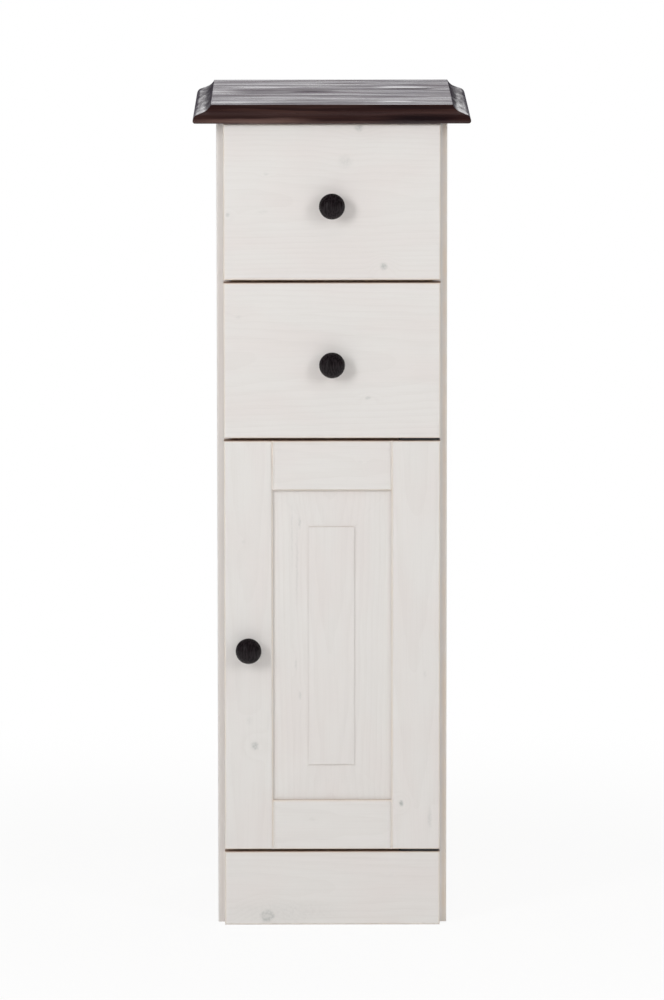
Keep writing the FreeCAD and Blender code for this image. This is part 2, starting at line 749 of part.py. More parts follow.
# Drawers: heights are counted from the lower edge of each front, which the level gives
def drawer(prefix, level):
    drawer_front(prefix, level)
    for name, hand in HANDS.items():
        drawer_side(prefix, level, name, hand)
        cabinet_runner(prefix, level, name, hand)
        box_runner(prefix, level, name, hand)
    back = new_piece(prefix + "_drawer_back")
    place(back, "0", "0", level)
    under = "(Layout.box_groove + Layout.box_groove_width)"
    add_box(back, prefix + "_back_blank",
            ("-Layout.box_inner_half", "Layout.box_back - Sizes.box_wall", under),
            ("Layout.box_inner_width", "Sizes.box_wall", "Sizes.box_rise + Sizes.box_height - " + under))
    bottom = new_piece(prefix + "_drawer_bottom")
    place(bottom, "0", "0", level)
    half = "(Layout.box_inner_half + Layout.box_tongue)"
    add_box(bottom, prefix + "_bottom_sheet", ("-" + half, "Layout.front_back - Layout.box_tongue",
                                               "Layout.box_bottom"),
            ("2 * " + half, "Layout.box_depth + Layout.box_tongue", "Sizes.box_bottom_thickness"))
    knob(prefix + "_drawer_knob", "0", f"{level} + Layout.drawer_knob")
    rollers(prefix + "_front_rollers", "Layout.front_roller", f"{level} + Layout.front_roller_level")
    rollers(prefix + "_rear_rollers", "Layout.rear_roller", f"{level} + Layout.rear_roller_level")


def drawer_front(prefix, level):
    body = new_piece(prefix + "_drawer_front")
    place(body, "0", "0", level)
    add_box(body, prefix + "_front_blank", ("-Layout.front_half", "Layout.face", "0"),
            ("Layout.front_width", "Sizes.front_thickness", "Sizes.drawer_front_height"))
    round_edges(body, prefix + "_front_rounds", on_front, "Sizes.front_round")
    half = "(Layout.box_inner_half + Sizes.box_groove_depth)"
    cut_box(body, prefix + "_front_groove",
            ("-" + half, "Layout.front_back - Sizes.box_groove_depth", "Layout.box_groove"),
            ("2 * " + half, "Sizes.box_groove_depth + Sizes.overrun", "Layout.box_groove_width"))
    knob_hole(body, "0", "Layout.drawer_knob")


def drawer_side(prefix, level, name, hand):
    body = new_piece(f"{prefix}_drawer_side_{name}")
    place(body, "0", "0", level)
    tag = f"{prefix}_{name}"
    add_box(body, "box_side_" + tag, (from_side(hand, "Sizes.runner_space", "Sizes.box_wall"),
                                      "Layout.front_back", "Sizes.box_rise"),
            ("Sizes.box_wall", "Layout.box_depth", "Sizes.box_height"))
    round_edges(body, "box_side_rounds_" + tag,
                lambda edge, whole, tolerance: on_top(edge, whole, tolerance) and edge.XLength < tolerance,
                "Sizes.box_round")
    width = "Sizes.box_groove_depth + Sizes.overrun"
    start = "Sizes.runner_space + Sizes.box_wall - Sizes.box_groove_depth"
    cut_box(body, "box_side_groove_" + tag,
            (from_side(hand, start, width), "Layout.front_back - Sizes.overrun", "Layout.box_groove"),
            (width, "Layout.box_depth + 2 * Sizes.overrun", "Layout.box_groove_width"))


def axle(body, tag, hand, seat, roller_side, y, z):
    """Riveted axle from a runner's web: a shoulder, the pin and a head past the roller.

    seat is where the web's face lies, and roller_side is 1 when the roller lies further in than the web.
    """
    gap = "Sizes.roller_gap"
    head = "Sizes.axle_head_diameter / 2"
    near = f"Layout.roller_start - {gap}"
    far = f"Layout.roller_end + {gap}"
    thickness = "Sizes.axle_head_thickness"
    if roller_side > 0:
        shoulder, rivet = (seat, near), (far, f"{far} + {thickness}")
        pin = (seat, rivet[1])
    else:
        shoulder, rivet = (far, seat), (f"{near} - {thickness}", near)
        pin = (rivet[0], seat)
    for part, span, radius in (("shoulder", shoulder, head), ("pin", pin, "Sizes.axle_diameter / 2"),
                               ("rivet", rivet, head)):
        add_rod(body, f"axle_{part}_{tag}", (x_from_side(hand, f"({span[0]})"), y, z), radius,
                f"({span[1]}) - ({span[0]})", inward_axis(hand))


def cabinet_runner(prefix, level, name, hand):
    """Steel channel on the side panel, with the front roller's axle riveted into its web."""
    body = new_piece(f"{prefix}_runner_{name}")
    place(body, "0", "0", level)
    tag = f"{prefix}_cabinet_{name}"
    steel = "Sizes.runner_steel"
    add_box(body, "web_" + tag, (from_side(hand, "0", steel), "Layout.runner_front", "Layout.channel"),
            (steel, "Layout.runner_length", "Sizes.channel_height"))
    flange = from_side(hand, "0", "Sizes.channel_depth")
    add_box(body, "track_" + tag, (flange, "Layout.runner_front", "Layout.channel"),
            ("Sizes.channel_depth", "Layout.runner_length", steel))
    add_box(body, "cover_" + tag,
            (flange, "Layout.runner_front + Sizes.channel_cutback", f"Layout.channel_top - {steel}"),
            ("Sizes.channel_depth", "Layout.runner_length - Sizes.channel_cutback", steel))
    axle(body, tag, hand, steel, 1, "Layout.front_roller", "Layout.front_roller_level")


def box_runner(prefix, level, name, hand):
    """Steel angle under the drawer's side, with a running flange and the rear roller's axle."""
    body = new_piece(f"{prefix}_drawer_runner_{name}")
    place(body, "0", "0", level)
    tag = f"{prefix}_box_{name}"
    steel = "Sizes.runner_steel"
    length = "Layout.rear_roller + Layout.roller_radius - Layout.runner_front"
    add_box(body, "web_" + tag, (from_side(hand, "Layout.box_web", steel), "Layout.runner_front",
                                 "Layout.box_flange"),
            (steel, length, "Layout.running_top - Layout.box_flange"))
    running = "Layout.box_web - Layout.roller_start + Sizes.runner_steel"
    add_box(body, "running_" + tag, (from_side(hand, "Layout.roller_start", running), "Layout.runner_front",
                                     "Layout.running_flange"),
            (running, length, steel))
    carrying = "Sizes.runner_steel + Sizes.box_flange_width"
    add_box(body, "carrying_" + tag, (from_side(hand, "Layout.box_web", carrying), "Layout.runner_front",
                                      "Layout.box_flange"),
            (carrying, length, steel))
    axle(body, tag, hand, "Layout.box_web", -1, "Layout.rear_roller", "Layout.rear_roller_level")


def rollers(label, y, z):
    """Left and right rollers of one axle line."""
    pair = []
    for name, hand in HANDS.items():
        start = (x_from_side(hand, "Layout.roller_start"), y, z)
        disc = part_rod(f"{label}_disc_{name}", start, "Layout.roller_radius", "Sizes.roller_width",
                        inward_axis(hand))
        bore = part_rod(f"{label}_bore_{name}", start, "Layout.roller_bore_radius", "Sizes.roller_width",
                        inward_axis(hand))
        pair.append(part_join("Cut", f"{label}_{name}", disc, bore))
    new_group(label, pair)


# Door: stiles and rails with chamfered joints, stub tenons on the rails, and a raised panel in their grooves
def door_stile(name, hand):
    body = new_piece("door_stile_" + name)
    left = "-Layout.front_half" if hand < 0 else "Layout.frame_inner"
    add_box(body, "stile_blank_" + name, (left, "Layout.face", "Layout.door_bottom"),
            ("Sizes.stile_width", "Sizes.front_thickness", "Layout.door_height"))
    inner = f"{hand} * Layout.frame_inner"

    def inner_front(edge, whole, tolerance):
        side = edge.XMin - whole.XMin if hand > 0 else whole.XMax - edge.XMax
        return front_upright(edge, whole, tolerance) and side < tolerance

    def outer(edge, whole, tolerance):
        side = whole.XMax - edge.XMax if hand > 0 else edge.XMin - whole.XMin
        outer_upright = upright(edge, tolerance) and side < tolerance
        crosswise = front_crosswise(edge, whole, tolerance) and edge.ZLength < tolerance
        return outer_upright or crosswise

    chamfer_edges(body, "stile_chamfer_" + name, inner_front, "Sizes.frame_chamfer")
    round_edges(body, "stile_rounds_" + name, outer, "Sizes.front_round")
    groove = "Sizes.panel_groove_depth + Sizes.overrun"
    start = f"{inner} - Sizes.panel_groove_depth" if hand < 0 else f"{inner} - Sizes.overrun"
    cut_box(body, "stile_groove_" + name,
            (start, "Layout.panel_groove", "Layout.door_bottom - Sizes.overrun"),
            (groove, "Layout.panel_groove_width", "Layout.door_height + 2 * Sizes.overrun"))
    if hand < 0:
        knob_hole(body, "Layout.door_knob", "Layout.door_knob_level")
        return
    depth = "Sizes.bush_length + Sizes.overrun"
    for end, level in (("bottom", "Layout.door_bottom - Sizes.overrun"),
                       ("top", "Layout.door_top - Sizes.bush_length")):
        cut_rod(body, "bush_hole_" + end, ("Layout.pivot_x", "Layout.pivot_y", level),
                "Layout.bush_hole_radius", depth)


def door_rail(name, side):
    """side is 1 for the top rail, whose grooved edge faces down."""
    body = new_piece("door_rail_" + name)
    level = "Layout.opening_top" if side > 0 else "Layout.door_bottom"
    add_box(body, "rail_blank_" + name, ("-Layout.frame_inner", "Layout.face", level),
            ("2 * Layout.frame_inner", "Sizes.front_thickness", "Sizes.rail_width"))

    def joint_front(edge, whole, tolerance):
        height = edge.ZMax - whole.ZMin if side > 0 else whole.ZMax - edge.ZMin
        return front_upright(edge, whole, tolerance) or on_front(edge, whole, tolerance) and height < tolerance

    def outer_front(edge, whole, tolerance):
        height = whole.ZMax - edge.ZMin if side > 0 else edge.ZMax - whole.ZMin
        return on_front(edge, whole, tolerance) and height < tolerance

    chamfer_edges(body, "rail_chamfer_" + name, joint_front, "Sizes.frame_chamfer")
    round_edges(body, "rail_rounds_" + name, outer_front, "Sizes.front_round")
    half = "(Layout.frame_inner + Layout.tongue_reach)"
    add_box(body, "rail_tenons_" + name, ("-" + half, "Layout.tongue_front", level),
            ("2 * " + half, "Sizes.tongue_thickness", "Sizes.rail_width"))
    cut_level = "Layout.opening_top - Sizes.overrun" if side > 0 else \
        "Layout.opening_bottom - Sizes.panel_groove_depth"
    width = "(" + half + " + Sizes.overrun)"
    cut_box(body, "rail_groove_" + name, ("-" + width, "Layout.panel_groove", cut_level),
            ("2 * " + width, "Layout.panel_groove_width", "Sizes.panel_groove_depth + Sizes.overrun"))


def door_panel():
    """Tongue sheet, sloped bevel and the raised field with its small step."""
    body = new_piece("door_panel")
    place(body, "Sizes.panel_shift", "Layout.tongue_front", "Layout.door_middle")
    half = "(Layout.frame_inner + Layout.tongue_reach)"
    half_height = "(Layout.opening_height / 2 + Layout.tongue_reach)"
    add_box(body, "panel_tongue", ("-" + half, "0", "-" + half_height),
            ("2 * " + half, "Sizes.tongue_thickness", "2 * " + half_height))
    bevel = body.newObject("PartDesign::AdditiveWedge", "panel_bevel")
    for edge, expression in (("Ymin", "-Sizes.bevel_height"), ("Ymax", "0"),
                             ("Xmin", "-Layout.field_half"), ("Xmax", "Layout.field_half"),
                             ("Zmin", "-Layout.field_half_height"), ("Zmax", "Layout.field_half_height"),
                             ("X2min", "-Layout.panel_half"), ("X2max", "Layout.panel_half"),
                             ("Z2min", "-Layout.panel_half_height"), ("Z2max", "Layout.panel_half_height")):
        bevel.setExpression(edge, expression)
    add_box(body, "panel_field", ("-Layout.field_half", "-Sizes.bevel_height - Sizes.field_step",
                                  "-Layout.field_half_height"),
            ("2 * Layout.field_half", "Sizes.field_step", "2 * Layout.field_half_height"))


def door():
    for name, hand in HANDS.items():
        door_stile(name, hand)
    door_rail("top", 1)
    door_rail("bottom", -1)
    door_panel()
    knob("door_knob", "Layout.door_knob", "Layout.door_knob_level")


# Pivot hinges: an angle plate in the gap at each end of the door, whose pin turns in a bush in the stile
def hinge_plate(label, level, flange_level):
    body = new_piece(label)
    steel = "Sizes.hinge_steel"
    split = "(Layout.front - Sizes.hinge_side_clearance)"
    add_box(body, label + "_nose", ("Layout.hinge_start", "Layout.hinge_front", level),
            ("Layout.hinge_outer_end - Layout.hinge_start", split + " - Layout.hinge_front", steel))
    round_edges(body, label + "_corners", front_upright, "Sizes.hinge_corner")
    inner_width = "Layout.hinge_inner_end - Layout.hinge_start"
    add_box(body, label + "_tail", ("Layout.hinge_start", split, level),
            (inner_width, "Layout.hinge_back - " + split, steel))
    add_box(body, label + "_flange", ("Layout.hinge_start", "Layout.hinge_back - " + steel, flange_level),
            (inner_width, steel, "Sizes.hinge_flange_height"))
    cut_rod(body, label + "_eye", ("Layout.pivot_x", "Layout.pivot_y", f"{level} - Sizes.overrun"),
            "Layout.hinge_eye_radius", f"{steel} + 2 * Sizes.overrun")


def hinges():
    lower = "Sizes.plinth_height + Layout.hinge_gap"
    upper = "Layout.door_top + Layout.hinge_gap"
    hinge_plate("lower_hinge_plate", lower, lower)
    hinge_plate("upper_hinge_plate", upper, f"{upper} + Sizes.hinge_steel - Sizes.hinge_flange_height")
    reach = "Sizes.hinge_steel + Layout.hinge_gap + Sizes.hinge_pin_length"
    spans = {
        "lower": (lower, f"{lower} - Sizes.hinge_pin_head_height", "Layout.door_bottom - Sizes.bush_proud"),
        "upper": (f"{upper} + Sizes.hinge_steel - ({reach})", f"{upper} + Sizes.hinge_steel",
                  "Layout.door_top + Sizes.bush_proud - Sizes.bush_length"),
    }
    pins = []
    bushes = []
    for name, (pin_level, head_level, bush_level) in spans.items():
        axis = ("Layout.pivot_x", "Layout.pivot_y")
        pin = part_rod(f"{name}_pin_rod", (*axis, pin_level), "Layout.hinge_pin_radius", reach)
        head = part_rod(f"{name}_pin_head", (*axis, head_level), "Sizes.hinge_pin_head_diameter / 2",
                        "Sizes.hinge_pin_head_height")
        pins.append(part_join("Fuse", f"{name}_hinge_pin", pin, head))
        outside = part_rod(f"{name}_bush_outside", (*axis, bush_level), "Layout.bush_radius",
                           "Sizes.bush_length")
        bore = part_rod(f"{name}_bush_bore", (*axis, bush_level), "Layout.hinge_eye_radius",
                        "Sizes.bush_length")
        bushes.append(part_join("Cut", f"{name}_hinge_bush", outside, bore))
    new_group("hinge_pins", pins)
    new_group("door_bushes", bushes)


# Magnet catch under the fixed shelf, its strike plate on the door, and the door's bumpers
def catch_and_bumpers():
    catch = new_piece("magnet_catch")
    add_box(catch, "catch_case",
            ("Layout.catch_left", "Layout.strike_back + Sizes.catch_gap", "Layout.catch_level"),
            ("Sizes.catch_width", "Sizes.catch_depth", "Sizes.catch_height"))
    round_edges(catch, "catch_rounds", lambda edge, whole, tolerance: upright(edge, tolerance),
                "Sizes.catch_round")
    strike = new_piece("catch_plate")
    add_box(strike, "strike_sheet", ("Layout.catch_left", "Layout.front_back", "Layout.catch_level"),
            ("Sizes.catch_width", "Sizes.strike_thickness", "Sizes.catch_height"))
    pads = []
    for name, z in (("lower", "Layout.door_bottom + Sizes.bumper_margin"),
                    ("upper", "Layout.door_top - Sizes.bumper_margin")):
        pads.append(part_rod(f"{name}_bumper", ("Layout.bumper_x", "Layout.front_back", z),
                             "Sizes.bumper_diameter / 2", "Sizes.bumper_thickness", ALONG_Y))
    new_group("door_bumpers", pads)


def check_and_write():
    """Stop on a failed object or a bad shape; otherwise write each piece to its own file."""
    doc.recompute()
    for item in doc.Objects:
        if "Invalid" in item.State or "Error" in item.State:
            raise RuntimeError(f"{item.Label} failed: {item.State}")
    os.makedirs("parts", exist_ok=True)
    for piece in pieces:
        if piece.Shape.isNull() or not piece.Shape.isValid():
            raise RuntimeError(f"{piece.Label} has no valid shape")
        piece.Shape.exportStep(f"parts/{piece.Label}.step")


top_board()
for side_name, side_hand in HANDS.items():
    side_panel(side_name, side_hand)
for board_label, board_level in BOARD_LEVELS.items():
    cross_board(board_label, "Layout.board_front", "Layout.board_depth", board_level)
for rail_label, (rail_start, rail_level) in RAILS.items():
    cross_board(rail_label, rail_start, "Sizes.rail_depth", rail_level)
carcass_dowels()
back_panel()
plinth()
loose_shelf()
drawer("upper", "Layout.upper_drawer")
drawer("lower", "Layout.lower_drawer")
door()
hinges()
catch_and_bumpers()
check_and_write()
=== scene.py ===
"""Narrow bathroom cabinet in white-glazed pine under a dark stained top: finishes, fasteners and studio."""
import math
from collections import namedtuple
from functools import partial

import bmesh
import bpy
from bpy.props import FloatProperty, FloatVectorProperty, IntProperty, PointerProperty
from mathutils import Color, Matrix, Vector


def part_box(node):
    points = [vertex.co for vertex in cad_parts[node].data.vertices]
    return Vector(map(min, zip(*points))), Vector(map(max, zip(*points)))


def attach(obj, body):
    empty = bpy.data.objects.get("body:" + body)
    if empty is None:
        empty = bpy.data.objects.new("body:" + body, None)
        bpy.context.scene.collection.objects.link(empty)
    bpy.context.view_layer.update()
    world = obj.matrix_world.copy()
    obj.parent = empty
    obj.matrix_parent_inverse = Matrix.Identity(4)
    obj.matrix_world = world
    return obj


bl_info = {
    "name": "Glazed Pine Bathroom Cabinet",
    "version": (1, 0, 0),
    "blender": (4, 5, 0),
    "location": "3D View > Sidebar > Cabinet",
    "description": "Gives the packed cabinet its finishes, its small fasteners and a studio",
    "category": "Object",
}

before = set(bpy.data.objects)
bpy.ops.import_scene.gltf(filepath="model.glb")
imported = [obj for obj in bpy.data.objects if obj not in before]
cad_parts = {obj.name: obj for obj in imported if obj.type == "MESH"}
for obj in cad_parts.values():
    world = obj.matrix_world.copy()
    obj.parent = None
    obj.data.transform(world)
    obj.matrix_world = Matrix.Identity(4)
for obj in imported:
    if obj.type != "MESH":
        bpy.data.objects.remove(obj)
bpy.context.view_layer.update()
MM = 0.001
UP = Vector((0, 0, 1))
AXES = "XYZ"

# A board: the way its grain runs, the way its face looks, how far in from the face its heart lies in mm
Board = namedtuple("Board", "grain face heart")
GLAZED_BOARDS = {
    "upper_drawer_front": Board("X", "Y", 46),
    "lower_drawer_front": Board("X", "Y", 70),
    "door_rail_top": Board("X", "Y", 38),
    "door_rail_bottom": Board("X", "Y", 52),
    "plinth_board": Board("X", "Y", 34),
    "door_stile_left": Board("Z", "Y", 42),
    "door_stile_right": Board("Z", "Y", 58),
    "door_panel": Board("Z", "Y", 40),
    "side_panel_left": Board("Z", "X", 30),
    "side_panel_right": Board("Z", "X", 26),
}
# Boards glued up from staves, and how far the glaze on their edges is rubbed, with painted shade on the right
# The right side's full share paints the warm shade of its front edge beside the fronts; the left side's low
# share leaves its front edge pale where the light falls
GLUED_SIDES_RUBBED_AND_SHADE_SHARES = {"side_panel_left": 0.05, "side_panel_right": 1.0}
# A knot under the glaze: across and up the face, half width, half height in mm, how dark it is, and how much
# paler its middle is
Knot = namedtuple("Knot", "across up half_width half_height share pale_share", defaults=(0,))
GLAZED_KNOTS = {
    "upper_drawer_front": (Knot(14.5, 839.4, 8.7, 8.8, 0.2), Knot(-70.9, 825.9, 3.3, 1.8, 0.22),
                           Knot(-74.7, 784.7, 8.7, 2.2, 0.12), Knot(-112.5, 781.6, 2.6, 2.4, 0.38),
                           Knot(56, 725.3, 4.6, 4.6, 0.68), Knot(29.4, 876.4, 6.4, 4.6, 0.55)),
    "lower_drawer_front": (Knot(39.3, 581.9, 3.8, 2.2, 0.42), Knot(-101, 670.5, 4.3, 2.7, 0.14)),
    "door_stile_left": (Knot(-84.1, 199.2, 4.9, 5.5, 0.68), Knot(-90.4, 226.9, 4.3, 5.5, 0.14),
                        Knot(-96.2, 424.7, 3.3, 3.3, 0.12)),
    "door_stile_right": (Knot(75.3, 135.5, 3.3, 3.7, 0.9), Knot(100.6, 278.5, 2.2, 4.4, 0.16),
                         Knot(106.3, 118.7, 2.7, 15.4, 0.24)),
    "door_panel": (Knot(-35.5, 445.4, 2, 7.7, 0.3), Knot(-35.2, 254.5, 2, 5.5, 0.24),
                   Knot(-39.5, 288.6, 1.8, 6.6, 0.2), Knot(-38.5, 398, 1.7, 62, 0.16),
                   Knot(-43.5, 430, 1.4, 44, 0.14)),
    "plinth_board": (Knot(-71.2, 10.2, 9.6, 7.2, 1.05, 0.75), Knot(-50, 14, 72, 16, 0.14),
                     Knot(64, 55, 3, 2, 0.1)),
    "door_rail_top": (Knot(31, 512, 3, 2, 0.1),),
    "door_rail_bottom": (Knot(-22, 118, 4, 2.4, 0.12),),
    "side_panel_left": (Knot(-62, 642, 5, 6, 0.6), Knot(41, 312, 7, 9, 0.5), Knot(118, 763, 3, 4, 0.6),
                        Knot(-106, 181, 4, 5, 0.45), Knot(84, 96, 6, 7, 0.6), Knot(8, 846, 9, 10, 0.35)),
    "side_panel_right": (Knot(72, 702, 6, 7, 0.55), Knot(-48, 448, 4, 5, 0.65), Knot(-101, 822, 3, 4, 0.5),
                         Knot(129, 262, 5, 6, 0.5), Knot(-20, 141, 8, 9, 0.4), Knot(31, 561, 3, 5, 0.6)),
}
# A swell in the top's lacquer: middle, half length and half depth, and height in mm
Swell = namedtuple("Swell", "x y half_length half_depth height")
TOP_SWELLS = (
    Swell(78, 72, 42, 28, 1.35),
    Swell(84, 53, 36, 10, -1.8),
    Swell(69.8, -101.8, 24, 15, 1.1),
    Swell(-20, 22, 36, 16, -0.9),
    Swell(-79, 72, 46, 16, 0.5),
    Swell(-89, -66, 40, 10, -0.4),
    Swell(-104, -110, 62, 30, 0.45),
    Swell(20, -68, 190, 18, 0.45),
    Swell(-122, 20, 42, 64, 0.4),
)
# A patch of the top's moulding: middle, half length and half height in mm, and how much paler, or darker
# below zero, the stain is
Patch = namedtuple("Patch", "x z half_length half_height share")
TOP_PATCHES = (
    Patch(-88, 884.4, 88, 4.4, 0.85),
    Patch(0, 891, 230, 3.4, 0.2),
    Patch(92, 885.5, 54, 7.5, -1.0),
    Patch(72, 898.5, 56, 3.5, -0.6),
)
# Bare pine boards, by the way their grain runs
BARE_BOARDS = {
    "X": ("top_rail_front", "top_rail_back", "drawer_divider_rail", "fixed_shelf", "bottom_board",
          "loose_shelf", "upper_drawer_back", "lower_drawer_back"),
    "Y": ("upper_drawer_side_left", "upper_drawer_side_right", "lower_drawer_side_left",
          "lower_drawer_side_right"),
    "Z": ("plinth_blocks",),
}
# The way in which the staves of a bare board lie beside each other, for each way that the grain runs
STAVES_BESIDE = {"X": "Y", "Y": "Z", "Z": "X"}
HARDBOARD_SHEETS = ("back_panel", "upper_drawer_bottom", "lower_drawer_bottom")
KNOBS = ("upper_drawer_knob", "lower_drawer_knob", "door_knob")
RUNNERS = ("upper_runner_left", "upper_runner_right", "lower_runner_left", "lower_runner_right",
           "upper_drawer_runner_left", "upper_drawer_runner_right",
           "lower_drawer_runner_left", "lower_drawer_runner_right")
ROLLERS = ("upper_front_rollers", "upper_rear_rollers", "lower_front_rollers", "lower_rear_rollers")
HINGE_PLATES = ("upper_hinge_plate", "lower_hinge_plate")
PLATED_STEEL = ("hinge_pins", "shelf_pins", "catch_plate", "upper_drawer_knob_screw",
                "lower_drawer_knob_screw", "door_knob_screw")
# How a wood's figure shows: where in a ring the late wood starts and its share, then the noise from and to
# which the fine streaks come up and their share
Figure = namedtuple("Figure", "late_from late_share fine_from fine_to fine_share")
GLAZED_FIGURE = Figure(0.35, 0.09, 0.42, 0.78, 0.1)
STAINED_FIGURE = Figure(0.2, 0.6, 0.4, 0.8, 0.45)
BARE_FIGURE = Figure(0.25, 0.5, 0.4, 0.8, 0.35)
# An even finish: material, the setting of its colour, share of darker flecks, roughness from and to, grain
# and relief in mm, and whether it is metal
Even = namedtuple("Even", "material colour share rough_from rough_to grit relief metallic", defaults=(0.0,))
# Turned beech: fine even flecks and a dry surface
BEECH = Even("turned_beech", "beech", 0.3, 0.55, 0.65, 0.8, 0.05)
# Epoxy powder baked on rolled steel: a smooth film with a slight orange peel
EPOXY = Even("baked_epoxy_on_steel", "runner", 0.08, 0.3, 0.38, 2.2, 0.06)
# Moulded nylon: milky, with a faint sheen
NYLON = Even("moulded_nylon", "nylon", 0.12, 0.4, 0.5, 0.7, 0.03)
# Injection-moulded ABS: an even fine texture from the mould
ABS = Even("moulded_abs", "catch", 0.1, 0.45, 0.55, 0.6, 0.03)
# Black electrocoat on pressed steel: a thin even film with a dull gloss
ELECTROCOAT = Even("black_electrocoat_on_steel", "electrocoat", 0.25, 0.34, 0.46, 0.6, 0.02)
# Cast soft polyurethane: pale and clear, slightly dusty
POLYURETHANE = Even("cast_clear_polyurethane", "bumper", 0.2, 0.3, 0.45, 0.6, 0.03)
# Zinc plate on steel: a dull grey-blue spangle with soft reflections
ZINC = Even("zinc_plated_steel", "zinc", 0.35, 0.28, 0.44, 1.2, 0.02, 1.0)
# Outlines of the fasteners' heads, as shares of the radius; a screw's part above its plate counts its height
# in shares of how far it stands off
SCREW_BELOW_SHARES = ((0, -0.8), (0.5, -0.8), (1, -0.12))
SCREW_ABOVE_SHARES = ((1, 0.2), (0.86, 0.62), (0.55, 0.92), (0, 1))
NAIL_SHARES = ((0, -1), (0.3, -0.6), (1, -0.1), (1, 0.06), (0.7, 0.18), (0, 0.22))
SCREW_SEGMENTS = 24
NAIL_SEGMENTS = 20
# Arm and depth of a cross recess, as shares of its width
RECESS_ARM_SHARE = 0.26
RECESS_DEPTH_SHARE = 1.1
# Points closer together than this are one point
WELD = 0.001 * MM
# A studio lamp: degrees round the cabinet and up from the floor, distance and size in metres
Lamp = namedtuple("Lamp", "name power azimuth elevation distance width height")
FRONT_LAMPS = ("key_softbox", "fill_softbox")


def colour(hex_text):
    """Turn an sRGB hex colour into linear red, green, blue and alpha."""
    srgb = [int(hex_text[start:start + 2], 16) / 255 for start in (1, 3, 5)]
    return (*Color(srgb).from_srgb_to_scene_linear(), 1.0)


def colour_property(name, hex_text, description):
    """Setting for a colour."""
    return FloatVectorProperty(name=name, description=description, default=colour(hex_text), size=4,
                               subtype="COLOR", min=0.0, max=1.0)


def length_property(name, millimetres, description):
    """Setting for a length, given in mm."""
    return FloatProperty(name=name, description=description, default=millimetres * MM, min=0.0,
                         unit="LENGTH")


class CabinetFinish(bpy.types.PropertyGroup):
    """Colours of the woods, metals and plastics, and the size of the wood's grain"""
    glaze: colour_property("Glaze", "#E5E2DF", "White glaze on the fronts and sides")
    glaze_grain: colour_property("Glazed grain", "#CFC9C4", "Late wood that shows through the glaze")
    glaze_blush: colour_property("Glaze blush", "#E4DEDB", "Warm clouds where the glaze is thinner")
    # The rubbed tone is real thin glaze, and on the right side panel it is also painted warm shade
    glaze_rubbed_and_shade: colour_property("Glazed edge and side shade", "#E6DACD", "Rounded edges where the glaze was rubbed thin")
    # The wiped tone is thin glaze, darkened further as painted shade for the edges that show in the gaps
    # between the fronts
    glaze_wiped: colour_property("Wiped edge and gap shade", "#AE8E7A", "Upper and lower edges, where little glaze stayed")
    glaze_knot: colour_property("Glazed knot", "#B4B5B2", "Knots under the glaze")
    stain: colour_property("Dark stain", "#2C1817", "Stained wood of the top")
    stain_light: colour_property("Stained early wood", "#573A32", "Softer wood that took less stain")
    stain_sap: colour_property("Stained sapwood", "#614943", "Palest wood of the top's moulding")
    stain_end: colour_property("Stained end grain", "#1E1113", "End grain of the top, which drank most stain")
    bloom: colour_property("Lacquer bloom", "#D9CCF2", "Lilac bloom of the top's lacquer at a low angle")
    bare_wood: colour_property("Bare pine", "#E6D0AC", "Early wood of the unfinished boards")
    bare_late: colour_property("Bare late wood", "#CDA673", "Late wood of the unfinished boards")
    bare_knot: colour_property("Bare knot", "#8A5632", "Knots of the unfinished boards")
    hardboard: colour_property("Hardboard", "#9A7A56", "Pressed wood fibre of the back and drawer bottoms")
    hardboard_fibre: colour_property("Hardboard fibre", "#6E5238", "Dark fibres in the hardboard")
    beech: colour_property("Beech", "#D9B48A", "Dowels")
    knob: colour_property("Knob stain", "#151012", "Black stain of the turned knobs")
    knob_grain: colour_property("Knob grain", "#272023", "Grain that shows through the black stain")
    runner: colour_property("Runner paint", "#ECEAE2", "Epoxy paint of the drawer runners")
    nylon: colour_property("Nylon", "#E9E7DE", "Rollers and hinge bushes")
    zinc: colour_property("Plated steel", "#B9BBBD", "Zinc plate on the screws and pins")
    electrocoat: colour_property("Electrocoat", "#1B1B1C", "Black coat of the hinge plates")
    catch: colour_property("Catch case", "#D8D5CC", "Moulded case of the magnet catch")
    bumper: colour_property("Bumper", "#C4C3BF", "Clear soft pads behind the door")
    ring_width: length_property("Ring width", 4.5, "Growth rings of the pine, from one to the next")
    fibre_width: length_property("Fibre width", 1.6, "Width of the fine streaks in the pine")
    fibre_length: length_property("Fibre length", 60, "Length of the fine streaks in the pine")
    stave_width: length_property("Stave width", 92, "Width of the staves that the wide boards are glued from")


class CabinetFasteners(bpy.types.PropertyGroup):
    """Sizes of the small screws and nails"""
    screw_head: length_property("Screw head", 7, "Diameter of the screw heads")
    screw_proud: length_property("Head height", 1.1, "How far a raised head stands off its plate")
    flush_proud: length_property("Flush head height", 0.25, "How far a countersunk head stands off its plate")
    recess: length_property("Cross recess", 3.8, "Width of the cross recess")
    nail_head: length_property("Nail head", 5, "Diameter of the nail heads on the back panel")
    nails_per_board: IntProperty(name="Nails per board", default=4, min=2,
                                 description="Nails through the back panel into each board")


